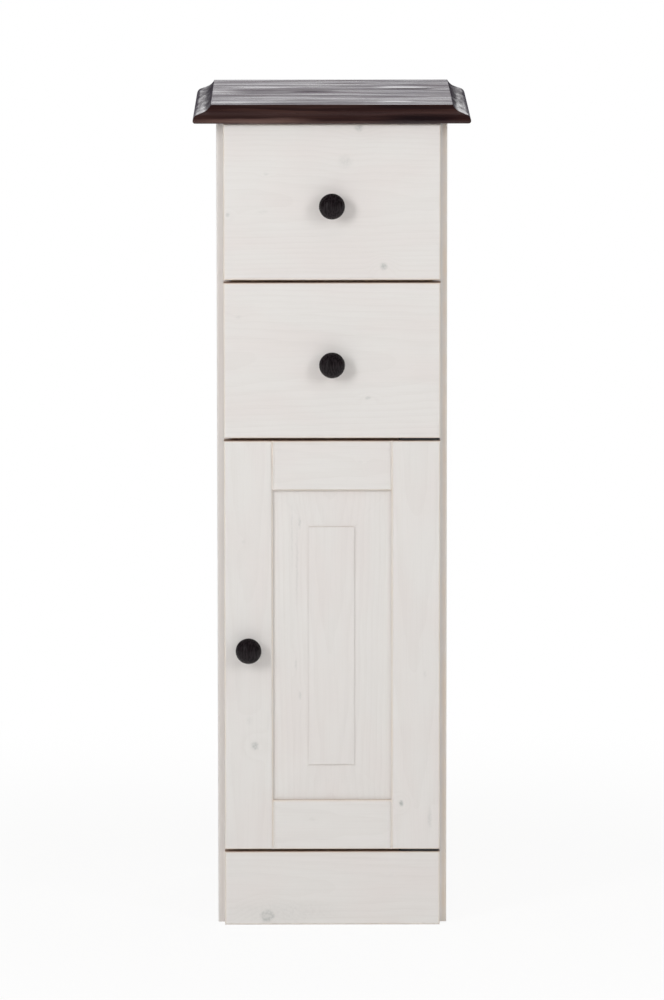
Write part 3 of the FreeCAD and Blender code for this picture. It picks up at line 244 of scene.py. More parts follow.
class CabinetStage(bpy.types.PropertyGroup):
    """Floor, lamps and camera"""
    floor: colour_property("Floor", "#F7F6F4", "Pale floor")
    floor_fleck: colour_property("Floor fleck", "#EDEBE7", "Fibres in the floor's paper")
    floor_white: FloatProperty(name="Floor white", default=0.9, subtype="FACTOR", min=0.0, max=1.0,
                               description="Share of plain white in the floor near the cabinet")
    key_power: FloatProperty(name="Key power", default=19.6, subtype="POWER", description="Lamp at the left")
    fill_power: FloatProperty(name="Fill power", default=11.2, subtype="POWER",
                              description="Lamp at the right")
    top_power: FloatProperty(name="Top power", default=4.0, subtype="POWER", description="Lamp overhead")
    back_power: FloatProperty(name="Back power", default=10.0, subtype="POWER", description="Lamp behind")
    ambient: FloatProperty(name="Ambient", default=0.44, description="Strength of the studio's even light")
    room: FloatProperty(name="Room", default=0.05, description="Strength of the dim room that gloss mirrors")
    distance: length_property("Camera distance", 8000, "From the camera to the middle of the fronts")
    lens: FloatProperty(name="Lens", default=265.2, unit="CAMERA", description="Focal length")


# Settings that many nodes share: a ramp that eases in and out, and a mix of colours
SMOOTH = {"interpolation_type": "SMOOTHSTEP"}
COLOURS = {"data_type": "RGBA"}


def socket_of(node, key):
    """Input socket of a node by its number, or the first open one of that name."""
    if isinstance(key, int):
        return node.inputs[key]
    return next(socket for socket in node.inputs if socket.name == key and socket.enabled)


def add_node(tree, kind, settings=None, links=None):
    """Add a node: settings fill its properties and sockets, links join its sockets to other nodes.

    The kind leaves out the ShaderNode that every kind starts with. A socket goes by its name or its number,
    and a link from a node starts at the node's first open output.
    """
    node = tree.nodes.new("ShaderNode" + kind)
    for key, value in (settings or {}).items():
        if isinstance(key, str) and hasattr(node, key):
            setattr(node, key, value)
        else:
            socket_of(node, key).default_value = value
    for key, source in (links or {}).items():
        if isinstance(source, bpy.types.Node):
            source = next(socket for socket in source.outputs if socket.enabled)
        tree.links.new(source, socket_of(node, key))
    return node


def new_material(name):
    """Start a material: the material, what adds a node to its tree, and the coordinates of the surface."""
    material = bpy.data.materials.new(name)
    material.use_nodes = True
    material.node_tree.nodes.clear()
    add = partial(add_node, material.node_tree)
    return material, add, add("TexCoord").outputs


def surface(add, tint, rough, relief, settings=None):
    """End a material with its shader."""
    shader = add("BsdfPrincipled", settings, {"Base Color": tint, "Roughness": rough, "Normal": relief})
    add("OutputMaterial", {}, {"Surface": shader})


def dress(nodes, material):
    """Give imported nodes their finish."""
    for node in nodes:
        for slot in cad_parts[node].material_slots:
            slot.material = material


def folded(add, operation, values):
    """Fold a list of values into one, two at a time."""
    total = values[0]
    for value in values[1:]:
        total = add("Math", {"operation": operation}, {0: total, 1: value})
    return total


def layered(add, base, coats):
    """Lay coats of colour over a base colour, each by its own share."""
    tint = None
    for share, coat in coats:
        settings = {**COLOURS, "B": coat}
        links = {"Factor": share}
        if tint:
            links["A"] = tint
        else:
            settings["A"] = base
        tint = add("Mix", settings, links)
    return tint


def shifted(add, place, noise, reach):
    """Place moved by the colour of a noise: by half the reach on average, by the whole reach at most."""
    return add("VectorMath", {"operation": "MULTIPLY_ADD", 1: reach}, {0: noise.outputs["Color"], 2: place})


def streaks(add, place, grain, width, length, detail, shift=0.0):
    """Noise drawn out along the grain, so wide across it and so long along it."""
    scale = [1 / length if axis == grain else 1 / width for axis in AXES]
    stretched = add("Mapping", {"Scale": scale, "Location": [shift] * 3}, {"Vector": place})
    return add("TexNoise", {"Scale": 1.0, "Detail": detail}, {"Vector": stretched})


def stave_lots(add, place, beside, width):
    """A lot of its own for each glued stave of each board: one number and three."""
    across = add("SeparateXYZ", {}, {"Vector": place}).outputs[beside]
    stave = add("Math", {"operation": "SNAP", 1: width}, {0: across})
    board = add("ObjectInfo").outputs["Random"]
    number = add("Math", {"operation": "ADD"}, {0: stave, 1: board})
    return add("TexWhiteNoise", {"noise_dimensions": "1D"}, {"W": number})


def log_place(add, place, lots):
    """Place in the log that a stave was sawn from; glued staves come from different parts of it."""
    # Staves are up to 160 mm apart across the log and 700 mm along any way of it
    spread = Vector((160, 160, 700)) * MM
    return shifted(add, place, lots, spread)


def growth_rings(add, place, grain, width, heart, swing=None):
    """Rings round a heart line that leans a little to the board, so that they run out in long arches."""
    lean = math.radians(1.6)
    turn = {"X": (0, 0, lean), "Y": (lean, 0, 0), "Z": (lean, 0, 0)}[grain]
    turned = add("Mapping", {"vector_type": "TEXTURE", "Location": heart, "Rotation": turn},
                 {"Vector": place})
    # The wave texture counts so many radians to a unit, so this scale puts one turn in each ring
    wave_radians = 20
    turns = math.tau / wave_radians / width
    links = {"Vector": turned}
    if swing:
        links["Phase Offset"] = swing
    rings = add("TexWave",
                {"wave_type": "RINGS", "rings_direction": grain, "wave_profile": "SAW", "Scale": turns,
                 "Distortion": 3.2, "Detail": 2.0, "Detail Scale": 0.22}, links)
    return rings.outputs["Fac"]


def shown_figure(add, rings, fibres, figure):
    """How much of the late wood and of the fine streaks shows, together."""
    late = add("MapRange", {**SMOOTH, "From Min": figure.late_from, "To Max": figure.late_share},
               {"Value": rings})
    fine = add("MapRange",
               {**SMOOTH, "From Min": figure.fine_from, "From Max": figure.fine_to,
                "To Max": figure.fine_share}, {"Value": fibres})
    return add("Math", {"operation": "ADD"}, {0: late, 1: fine})


def far_from(add, place, centre, half_sizes):
    """Distance of a place from a centre, in half sizes; a way whose half size is zero doesn't count."""
    sizes = [1 / half if half else 0 for half in half_sizes]
    offset = add("VectorMath", {"operation": "SUBTRACT", 1: centre}, {0: place})
    scaled = add("VectorMath", {"operation": "MULTIPLY", 1: sizes}, {0: offset})
    return add("VectorMath", {"operation": "LENGTH"}, {0: scaled}).outputs["Value"]


def placed_knots(add, place, face, knots):
    """Darkness of the placed knots, and how far they swing the growth rings round them."""
    notch = 7 * MM
    reach = 3 * MM
    full_swing = 16
    ragged = add("TexNoise", {"Scale": 1 / notch, "Detail": 1.0}, {"Vector": place})
    warped = shifted(add, place, ragged, [reach] * 3)
    darks = []
    swings = []
    for knot in knots:
        # The warp moves a place by half its reach, so each knot's centre moves along
        centre = [knot.across * MM + reach / 2, 0, knot.up * MM + reach / 2]
        sizes = [knot.half_width * MM, 0, knot.half_height * MM]
        if face == "X":
            centre[0], centre[1] = centre[1], centre[0]
            sizes[0], sizes[1] = sizes[1], sizes[0]
        far = far_from(add, warped, centre, sizes)
        dark = add("MapRange",
                   {**SMOOTH, "From Min": 0.15, "From Max": 1.2, "To Min": knot.share, "To Max": 0.0},
                   {"Value": far})
        swing = add("MapRange",
                    {**SMOOTH, "From Min": 0.5, "From Max": 4.5, "To Min": full_swing * knot.share,
                     "To Max": 0.0}, {"Value": far})
        if knot.pale_share:
            pale = add("MapRange",
                       {**SMOOTH, "From Min": 0.1, "From Max": 0.7, "To Min": knot.pale_share,
                        "To Max": 0.0}, {"Value": far})
            dark = add("Math", {"operation": "SUBTRACT"}, {0: dark, 1: pale})
        darks.append(dark)
        swings.append(swing)
    # Bark and resin in a knot come in flecks
    fleck = 2.4 * MM
    flecks = add("TexNoise", {"Scale": 1 / fleck, "Detail": 2.0}, {"Vector": place})
    mottle = add("MapRange", {"From Min": 0.35, "From Max": 0.65, "To Min": 0.55, "To Max": 1.3},
                 {"Value": flecks})
    mottled = add("Math", {"operation": "MULTIPLY"}, {0: folded(add, "MAXIMUM", darks), 1: mottle})
    return mottled, folded(add, "ADD", swings)


def scattered_knots(add, place, grain, spacing):
    """Darkness of scattered knots: a dark core, paler wood round it and a dark rim; few cells hold one."""
    scale = [1 / (1.5 * spacing) if axis == grain else 1 / spacing for axis in AXES]
    stretched = add("Mapping", {"Scale": scale}, {"Vector": place})
    cells = add("TexVoronoi", {"Scale": 1.0, "Randomness": 0.9}, {"Vector": stretched})
    lot = add("SeparateColor", {}, {"Color": cells.outputs["Color"]})
    size = add("MapRange", {"From Min": 0.62, "To Min": 0.001, "To Max": 0.07},
               {"Value": lot.outputs["Red"]})
    far = add("Math", {"operation": "DIVIDE"}, {0: cells.outputs["Distance"], 1: size})
    ramp = add("ValToRGB", {}, {"Fac": far})
    stops = ((0.0, 0.9), (0.3, 0.5), (0.62, 0.85), (0.85, 0.3), (1.0, 0.0))
    elements = ramp.color_ramp.elements
    while len(elements) < len(stops):
        elements.new(0.5)
    for element, (position, level) in zip(elements, stops):
        element.position = position
        element.color = (level, level, level, 1.0)
    return ramp


def rubbed_edges_and_shade(add, place, node, face, share):
    """Share of rubbed glaze, and of painted shade where a board's share asks for it: full on the outline of a
    board's face, none a few mm in from it, in patches.
    """
    rim = 2.6 * MM
    # The rubbing reaches a few mm round the corner, on to the board's edge, and fades out there
    fade_start = 3 * MM
    fade_end = 7 * MM
    patch = 28 * MM
    low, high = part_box(node)
    offset = add("VectorMath", {"operation": "SUBTRACT", 1: (low + high) / 2}, {0: place})
    mirrored = add("VectorMath", {"operation": "ABSOLUTE"}, {0: offset})
    inside = add("VectorMath", {"operation": "SUBTRACT", 1: (high - low) / 2}, {0: mirrored})
    axes = add("SeparateXYZ", {}, {"Vector": inside}).outputs
    across = "Y" if face == "X" else "X"
    nearest = add("Math", {"operation": "MAXIMUM"}, {0: axes[across], 1: axes["Z"]})
    outline = add("MapRange", {**SMOOTH, "From Min": -rim, "From Max": 0.0}, {"Value": nearest})
    reach = add("MapRange", {**SMOOTH, "From Min": -fade_end, "From Max": -fade_start},
                {"Value": axes[face]})
    patches = add("TexNoise", {"Scale": 1 / patch, "Detail": 2.0}, {"Vector": place})
    worn = add("MapRange", {"From Min": 0.3, "From Max": 0.7, "To Min": 0.35 * share, "To Max": share},
               {"Value": patches})
    return folded(add, "MULTIPLY", (outline, reach, worn))


def glazed_pine(node, finish):
    """Pine under a white wiping glaze, sanded back and sealed satin.

    The glaze hides most of the wood, so only faint late wood, cool grey knots and warm thin places show.
    """
    board = GLAZED_BOARDS[node]
    material, add, coordinates = new_material("wiped_white_glaze_on_pine_" + node)
    place = coordinates["Object"]
    low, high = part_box(node)
    heart = (low + high) / 2
    heart[AXES.index(board.face)] = low[AXES.index(board.face)] + board.heart * MM
    lots = None
    log = place
    if node in GLUED_SIDES_RUBBED_AND_SHADE_SHARES:
        lots = stave_lots(add, place, "Y", finish.stave_width)
        log = log_place(add, place, lots)
    knots, swing = placed_knots(add, place, board.face, GLAZED_KNOTS[node])
    rings = growth_rings(add, log, board.grain, finish.ring_width, heart, swing)
    # The heart's depth also shifts the noises, so that no two boards show the same streaks
    fibres = streaks(add, log, board.grain, finish.fibre_width, finish.fibre_length, 3.0, board.heart)
    clouds = streaks(add, place, board.grain, width=34 * MM, length=90 * MM, detail=1.0, shift=board.heart)
    thin = add("MapRange", {"From Min": 0.4, "From Max": 0.68, "To Max": 0.7}, {"Value": clouds})
    if lots:
        thin = add("Math", {"operation": "MULTIPLY_ADD", 1: 0.5}, {0: thin, 2: lots})
    facing = add("SeparateXYZ", {}, {"Vector": coordinates["Normal"]})
    upward = add("Math", {"operation": "ABSOLUTE"}, {0: facing.outputs["Z"]})
    # Upward and downward faces take the wiped tone, which also paints the shade in the gaps between the
    # fronts
    wiped_and_gap_shade = add("MapRange", {"From Min": 0.75, "From Max": 0.98, "To Max": 0.85}, {"Value": upward})
    # On the right side panel this share is also painted warm shade on its front edge
    rubbed_and_shade = rubbed_edges_and_shade(add, place, node, board.face, GLUED_SIDES_RUBBED_AND_SHADE_SHARES.get(node, 1.0))
    tint = layered(add, finish.glaze, (
        (thin, finish.glaze_blush),
        (shown_figure(add, rings, fibres, GLAZED_FIGURE), finish.glaze_grain),
        (knots, finish.glaze_knot),
        (rubbed_and_shade, finish.glaze_rubbed_and_shade),
        (wiped_and_gap_shade, finish.glaze_wiped),
    ))
    rough = add("MapRange", {"From Min": 0.3, "From Max": 0.75, "To Min": 0.42, "To Max": 0.54},
                {"Value": fibres})
    height = add("Math", {"operation": "MULTIPLY_ADD", 1: 0.4}, {0: rings, 2: fibres})
    relief = add("Bump", {"Strength": 0.35, "Distance": 0.1 * MM}, {"Height": height})
    surface(add, tint, rough, relief)
    return material


def lacquer_swells(add, place):
    """Height in mm of the broad swells in the top's lacquer, which bend its reflection."""
    heights = []
    for swell in TOP_SWELLS:
        centre = Vector((swell.x, swell.y, 0)) * MM
        far = far_from(add, place, centre, Vector((swell.half_length, swell.half_depth, 0)) * MM)
        heights.append(add("MapRange", {**SMOOTH, "To Min": swell.height, "To Max": 0.0}, {"Value": far}))
    return folded(add, "ADD", heights)


def stain_patches(add, place):
    """How much paler or darker the stain of the top's moulding is, in patches that the grain draws out."""
    reach = Vector((50, 0, 5)) * MM
    ragged = streaks(add, place, "X", width=5 * MM, length=70 * MM, detail=2.0, shift=3.0)
    warped = shifted(add, place, ragged, reach)
    shares = []
    for patch in TOP_PATCHES:
        # The warp moves a place by half its reach, so each patch's centre moves along
        centre = Vector((patch.x, 0, patch.z)) * MM + reach / 2
        far = far_from(add, warped, centre, Vector((patch.half_length, 0, patch.half_height)) * MM)
        shares.append(add("MapRange", {**SMOOTH, "From Min": 0.25, "To Min": patch.share, "To Max": 0.0},
                          {"Value": far}))
    return folded(add, "ADD", shares)


def stained_pine(node, finish):
    """Pine under a dark spirit stain and a thin lacquer.

    The early wood drinks the stain unevenly, the end grain most of all, and the lacquer mirrors the studio in
    streaks along the grain.
    """
    material, add, coordinates = new_material("dark_spirit_stain_on_pine")
    place = coordinates["Object"]
    low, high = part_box(node)
    heart_depth = 42 * MM
    heart = Vector(((low.x + high.x) / 2, (low.y + high.y) / 2, low.z - heart_depth))
    # The top has wider staves and rings than the other boards, and longer streaks
    lots = stave_lots(add, place, "Y", 1.1 * finish.stave_width)
    rings = growth_rings(add, log_place(add, place, lots), "X", 2 * finish.ring_width, heart)
    fibres = streaks(add, place, "X", finish.fibre_width, 1.4 * finish.fibre_length, 4.0)
    broad = streaks(add, place, "X", width=8 * MM, length=75 * MM, detail=3.0)
    wide = streaks(add, place, "X", width=21 * MM, length=150 * MM, detail=2.0, shift=5.0)
    figure = shown_figure(add, rings, fibres, STAINED_FIGURE)
    patches = add("MapRange", {"From Min": 0.38, "From Max": 0.66, "To Min": 0.15}, {"Value": wide})
    taken = add("Math", {"operation": "MULTIPLY"}, {0: figure, 1: patches})
    facing = add("SeparateXYZ", {}, {"Vector": coordinates["Normal"]})
    endways = add("Math", {"operation": "ABSOLUTE"}, {0: facing.outputs["X"]})
    end_grain = add("MapRange", {**SMOOTH, "From Min": 0.1, "From Max": 0.45}, {"Value": endways})
    patched = stain_patches(add, place)
    darker = add("Math", {"operation": "SUBTRACT", "use_clamp": True}, {0: end_grain, 1: patched})
    tint = layered(add, finish.stain, (
        (taken, finish.stain_light),
        (patched, finish.stain_sap),
        (darker, finish.stain_end),
    ))
    streaky = add("Math", {"operation": "ADD"}, {0: broad, 1: wide})
    lacquer = add("MapRange", {"From Min": 0.75, "From Max": 1.25, "To Min": 0.15, "To Max": 0.48},
                  {"Value": streaky})
    swells = lacquer_swells(add, place)
    lacquer = add("Math", {"operation": "MULTIPLY_ADD", 1: -0.34, "use_clamp": True},
                  {0: swells, 2: lacquer})
    # Steep end grain drinks the lacquer in clumps, most of all to the back
    clumps = streaks(add, place, "Y", width=7 * MM, length=40 * MM, detail=2.0)
    steep = add("MapRange", {"From Min": 0.3, "From Max": 0.8, "To Min": 0.03, "To Max": 0.7},
                {"Value": endways})
    dull = add("MapRange", {"From Min": 0.35, "From Max": 0.65, "To Min": 0.0, "To Max": 0.36},
               {"Value": clumps})
    depth = add("SeparateXYZ", {}, {"Vector": place}).outputs["Y"]
    thick_at = -140 * MM
    thin_at = 60 * MM
    thin = add("MapRange", {"From Min": thick_at, "From Max": thin_at, "To Min": -0.1, "To Max": 0.14},
               {"Value": depth})
    dull = add("Math", {"operation": "ADD"}, {0: dull, 1: thin})
    dull = add("Math", {"operation": "ADD", "use_clamp": True}, {0: steep, 1: dull})
    rough = add("Mix", {"data_type": "FLOAT"}, {"Factor": end_grain, "A": lacquer, "B": dull})
    uneven = add("Math", {"operation": "MULTIPLY_ADD", 1: 0.5}, {0: fibres, 2: broad})
    uneven = add("Math", {"operation": "MULTIPLY_ADD", 1: 1.6}, {0: wide, 2: uneven})
    swollen = add("Bump", {"Strength": 1.0, "Distance": MM}, {"Height": swells})
    # The end grain is sanded smooth, the long grain stands in ridges
    ridges = add("MapRange", {"To Min": 0.8, "To Max": 0.25}, {"Value": end_grain})
    relief = add("Bump", {"Distance": 0.6 * MM}, {"Strength": ridges, "Height": uneven, "Normal": swollen})
    # Wax dust on the lacquer leaves a faint lilac bloom at a low angle
    bloom = {"Sheen Weight": 0.12, "Sheen Roughness": 0.3, "Sheen Tint": finish.bloom}
    surface(add, tint, rough, relief, {"Specular IOR Level": 0.3, **bloom})
    return material


def bare_pine(grain, finish):
    """Planed pine with no finish: honey late wood in pale early wood, red-brown knots, a dull surface."""
    material, add, coordinates = new_material("planed_bare_pine_along_" + grain.lower())
    place = coordinates["Object"]
    lots = stave_lots(add, place, STAVES_BESIDE[grain], finish.stave_width)
    log = log_place(add, place, lots)
    heart = Vector((50, 50, 300)) * MM
    rings = growth_rings(add, log, grain, finish.ring_width, heart)
    fibres = streaks(add, log, grain, finish.fibre_width, finish.fibre_length, 3.0)
    tint = layered(add, finish.bare_wood, (
        (shown_figure(add, rings, fibres, BARE_FIGURE), finish.bare_late),
        (scattered_knots(add, place, grain, spacing=80 * MM), finish.bare_knot),
    ))
    rough = add("MapRange", {"From Min": 0.3, "From Max": 0.75, "To Min": 0.55, "To Max": 0.7},
                {"Value": fibres})
    relief = add("Bump", {"Strength": 0.4, "Distance": 0.15 * MM}, {"Height": fibres})
    surface(add, tint, rough, relief)
    return material


def hardboard(finish):
    """Hot-pressed hardboard: brown felted fibre with a smooth, slightly waxy face."""
    material, add, coordinates = new_material("pressed_hardboard")
    place = coordinates["Object"]
    # Real fibres are finer than a pixel, so they are drawn this long to show
    fibre = 3 * MM
    patch = 45 * MM
    fibres = add("TexNoise", {"Scale": 1 / fibre, "Detail": 4.0, "Distortion": 1.5}, {"Vector": place})
    patches = add("TexNoise", {"Scale": 1 / patch, "Detail": 2.0}, {"Vector": place})
    dark = add("MapRange", {"From Min": 0.45, "From Max": 0.8, "To Max": 0.7}, {"Value": fibres})
    damp = add("MapRange", {"From Min": 0.4, "From Max": 0.7, "To Max": 0.18}, {"Value": patches})
    tint = layered(add, finish.hardboard, ((dark, finish.hardboard_fibre), (damp, finish.hardboard_fibre)))
    rough = add("MapRange", {"From Min": 0.3, "From Max": 0.7, "To Min": 0.42, "To Max": 0.6},
                {"Value": fibres})
    relief = add("Bump", {"Strength": 0.3, "Distance": 0.1 * MM}, {"Height": fibres})
    surface(add, tint, rough, relief)
    return material


def stained_knob(finish):
    """Turned wood under black stain and a thin satin lacquer: its grain breaks up the highlights."""
    material, add, coordinates = new_material("black_stain_on_turned_wood")
    # The real grain is finer than a pixel, so it is drawn this wide to show
    grain = streaks(add, coordinates["Object"], "Z", width=1.4 * MM, length=14 * MM, detail=3.0)
    open_grain = add("MapRange", {"From Min": 0.42, "From Max": 0.75}, {"Value": grain})
    tint = add("Mix", {**COLOURS, "A": finish.knob, "B": finish.knob_grain}, {"Factor": open_grain})
    rough = add("MapRange", {"From Min": 0.35, "From Max": 0.65, "To Min": 0.2, "To Max": 0.36},
                {"Value": grain})
    relief = add("Bump", {"Strength": 0.6, "Distance": 0.12 * MM}, {"Height": grain})
    surface(add, tint, rough, relief, {"Specular IOR Level": 0.13})
    return material


def speckled(look, finish):
    """Even surface with fine relief: a colour, its slightly darker flecks, and a fine grain."""
    material, add, coordinates = new_material(look.material)
    place = coordinates["Object"]
    tint = getattr(finish, look.colour)
    patch = 14 * MM
    shade_share = 0.62
    grain = add("TexNoise", {"Scale": 1 / (look.grit * MM), "Detail": 3.0}, {"Vector": place})
    broad = add("TexNoise", {"Scale": 1 / patch, "Detail": 2.0}, {"Vector": place})
    darker = (*(channel * shade_share for channel in tint[:3]), 1.0)
    flecks = add("MapRange", {"From Min": 0.35, "From Max": 0.75, "To Max": look.share}, {"Value": broad})
    mottled = add("Mix", {**COLOURS, "A": tint, "B": darker}, {"Factor": flecks})
    rough = add("MapRange",
                {"From Min": 0.3, "From Max": 0.7, "To Min": look.rough_from, "To Max": look.rough_to},
                {"Value": broad})
    relief = add("Bump", {"Strength": 0.5, "Distance": look.relief * MM}, {"Height": grain})
    surface(add, mottled, rough, relief, {"Metallic": look.metallic})
    return material


def plated_steel(finish):
    """Zinc-plated steel, made once for all fittings and fasteners."""
    return bpy.data.materials.get(ZINC.material) or speckled(ZINC, finish)


def revolved(profile, segments):
    """Turn a profile of (radius, height) points round Z."""
    shape = bmesh.new()
    points = [shape.verts.new((radius, 0, height)) for radius, height in profile]
    edges = [shape.edges.new(pair) for pair in zip(points, points[1:])]
    bmesh.ops.spin(shape, geom=points + edges, cent=(0, 0, 0), axis=UP, angle=math.tau, steps=segments,
                   use_merge=True)
    bmesh.ops.remove_doubles(shape, verts=shape.verts, dist=WELD)
    bmesh.ops.recalc_face_normals(shape, faces=shape.faces)
    return shape


def cross_prism(width, arm, height):
    """Upright cross, so wide over its arms, with its middle at the origin."""
    shape = bmesh.new()
    outline = []
    for quarter in range(4):
        turn = Matrix.Rotation(quarter * math.pi / 2, 3, "Z")
        for x, y in ((width, -arm), (width, arm), (arm, arm)):
            outline.append(shape.verts.new(turn @ Vector((x, y, -height)) / 2))
    lifted = bmesh.ops.extrude_face_region(shape, geom=[shape.faces.new(outline)])["geom"]
    tops = [item for item in lifted if isinstance(item, bmesh.types.BMVert)]
    bmesh.ops.translate(shape, verts=tops, vec=height * UP)
    bmesh.ops.recalc_face_normals(shape, faces=shape.faces)
    return shape


def screw_head(radius, proud, recess):
    """Domed head over a countersink with a cross recess, standing on z = 0."""
    profile = [(across * radius, up * radius) for across, up in SCREW_BELOW_SHARES]
    profile += [(across * radius, up * proud) for across, up in SCREW_ABOVE_SHARES]
    head = mesh_piece("screw_head_blank", revolved(profile, SCREW_SEGMENTS))
    slot = mesh_piece("cross_recess_cutter",
                      cross_prism(recess, RECESS_ARM_SHARE * recess, RECESS_DEPTH_SHARE * recess))
    cut = head.modifiers.new("cross_recess", "BOOLEAN")
    cut.object = slot
    bpy.context.view_layer.update()
    evaluated = head.evaluated_get(bpy.context.evaluated_depsgraph_get())
    mesh = bpy.data.meshes.new_from_object(evaluated)
    for blank in (head, slot):
        bpy.data.objects.remove(blank)
    if not mesh.polygons:
        raise RuntimeError("The cross recess left nothing of the screw head")
    return mesh


def mesh_piece(name, shape):
    """Close a bmesh into an object in the scene."""
    mesh = bpy.data.meshes.new(name)
    shape.to_mesh(mesh)
    shape.free()
    piece = bpy.data.objects.new(name, mesh)
    bpy.context.scene.collection.objects.link(piece)
    return piece


def repeated(name, mesh, places):
    """Join copies of a mesh, each at a point and facing a direction, into one piece."""
    shape = bmesh.new()
    for point, facing in places:
        turn = Vector(facing).to_track_quat("Z", "Y").to_matrix().to_4x4()
        start = len(shape.verts)
        shape.from_mesh(mesh)
        shape.verts.ensure_lookup_table()
        bmesh.ops.transform(shape, verts=shape.verts[start:], matrix=Matrix.Translation(point) @ turn)
    return mesh_piece(name, shape)


def fasten(piece, body, steel):
    """Give a group of fasteners its steel and the body that it rides on."""
    piece.data.materials.append(steel)
    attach(piece, body)


class CABINET_OT_glaze_boards(bpy.types.Operator):
    """Glaze the fronts, the door, the sides and the plinth white"""
    bl_idname = "cabinet.glaze_boards"
    bl_label = "Glaze Boards"

    def execute(self, context):
        for node in GLAZED_BOARDS:
            dress([node], glazed_pine(node, context.scene.cabinet_finish))
        return {"FINISHED"}


class CABINET_OT_stain_top(bpy.types.Operator):
    """Stain and lacquer the moulded top"""
    bl_idname = "cabinet.stain_top"
    bl_label = "Stain Top"

    def execute(self, context):
        dress(["top_board"], stained_pine("top_board", context.scene.cabinet_finish))
        return {"FINISHED"}


class CABINET_OT_plane_boards(bpy.types.Operator):
    """Leave the inner boards, the drawer boxes and the dowels in bare wood"""
    bl_idname = "cabinet.plane_boards"
    bl_label = "Plane Inner Boards"

    def execute(self, context):
        finish = context.scene.cabinet_finish
        for grain, boards in BARE_BOARDS.items():
            dress(boards, bare_pine(grain, finish))
        dress(["carcass_dowels"], speckled(BEECH, finish))
        return {"FINISHED"}


class CABINET_OT_press_sheets(bpy.types.Operator):
    """Finish the back panel and the drawer bottoms as hardboard"""
    bl_idname = "cabinet.press_sheets"
    bl_label = "Press Hardboard"

    def execute(self, context):
        dress(HARDBOARD_SHEETS, hardboard(context.scene.cabinet_finish))
        return {"FINISHED"}


class CABINET_OT_stain_knobs(bpy.types.Operator):
    """Stain the turned knobs black"""
    bl_idname = "cabinet.stain_knobs"
    bl_label = "Stain Knobs"

    def execute(self, context):
        dress(KNOBS, stained_knob(context.scene.cabinet_finish))
        return {"FINISHED"}


class CABINET_OT_coat_runners(bpy.types.Operator):
    """Coat the runners with epoxy and finish their nylon rollers"""
    bl_idname = "cabinet.coat_runners"
    bl_label = "Coat Runners"

    def execute(self, context):
        finish = context.scene.cabinet_finish
        dress(RUNNERS, speckled(EPOXY, finish))
        dress((*ROLLERS, "door_bushes"), speckled(NYLON, finish))
        return {"FINISHED"}


class CABINET_OT_plate_fittings(bpy.types.Operator):
    """Finish the steel fittings, the magnet catch and the bumpers"""
    bl_idname = "cabinet.plate_fittings"
    bl_label = "Plate Fittings"

    def execute(self, context):
        finish = context.scene.cabinet_finish
        dress(PLATED_STEEL, plated_steel(finish))
        dress(["magnet_catch"], speckled(ABS, finish))
        dress(HINGE_PLATES, speckled(ELECTROCOAT, finish))
        dress(["door_bumpers"], speckled(POLYURETHANE, finish))
        return {"FINISHED"}


class CABINET_OT_drive_runner_screws(bpy.types.Operator):
    """Screw the runners to the sides and under the drawer boxes"""
    bl_idname = "cabinet.drive_runner_screws"
    bl_label = "Drive Runner Screws"

    def execute(self, context):
        sizes = context.scene.cabinet_fasteners
        steel = plated_steel(context.scene.cabinet_finish)
        flush = screw_head(sizes.screw_head / 2, sizes.flush_proud, sizes.recess)
        raised = screw_head(sizes.screw_head / 2, sizes.screw_proud, sizes.recess)
        sheet = 1 * MM
        shares = (0.14, 0.52, 0.9)
        for drawer in ("upper", "lower"):
            webs = []
            flanges = []
            for side, hand in (("left", -1), ("right", 1)):
                low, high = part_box(f"{drawer}_runner_{side}")
                web = low.x + sheet if hand < 0 else high.x - sheet
                for share in shares:
                    along = low.y + share * (high.y - low.y)
                    webs.append(((web, along, (low.z + high.z) / 2), (-hand, 0, 0)))
                low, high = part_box(f"{drawer}_drawer_runner_{side}")
                wood_low, wood_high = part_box(f"{drawer}_drawer_side_{side}")
                for share in shares[:2]:
                    flanges.append((((wood_low.x + wood_high.x) / 2, low.y + share * (high.y - low.y), low.z),
                                    (0, 0, -1)))
            fasten(repeated(f"{drawer}_runner_screws", flush, webs), "carcass", steel)
            fasten(repeated(f"{drawer}_drawer_runner_screws", raised, flanges), f"{drawer}_drawer", steel)
        return {"FINISHED"}


class CABINET_OT_drive_fitting_screws(bpy.types.Operator):
    """Screw down the hinge plates and the magnet catch"""
    bl_idname = "cabinet.drive_fitting_screws"
    bl_label = "Drive Fitting Screws"

    def execute(self, context):
        sizes = context.scene.cabinet_fasteners
        steel = plated_steel(context.scene.cabinet_finish)
        # These screws are a size smaller than the runners'
        radius_share = 0.42
        recess_share = 0.8
        plate_shares = (0.24, 0.76)
        catch_shares = (0.14, 0.86)
        thickness = 2 * MM
        flush = screw_head(radius_share * sizes.screw_head, sizes.flush_proud, recess_share * sizes.recess)
        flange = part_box("fixed_shelf")[0].y - thickness
        side_low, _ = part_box("side_panel_right")
        screws = []
        for plate in HINGE_PLATES:
            low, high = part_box(plate)
            for share in plate_shares:
                x = low.x + share * (side_low.x - low.x)
                screws.append(((x, flange, (low.z + high.z) / 2), (0, -1, 0)))
        low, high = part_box("magnet_catch")
        for share in catch_shares:
            x = low.x + share * (high.x - low.x)
            screws.append(((x, (low.y + high.y) / 2, low.z), (0, 0, -1)))
        fasten(repeated("fitting_screws", flush, screws), "carcass", steel)
        return {"FINISHED"}


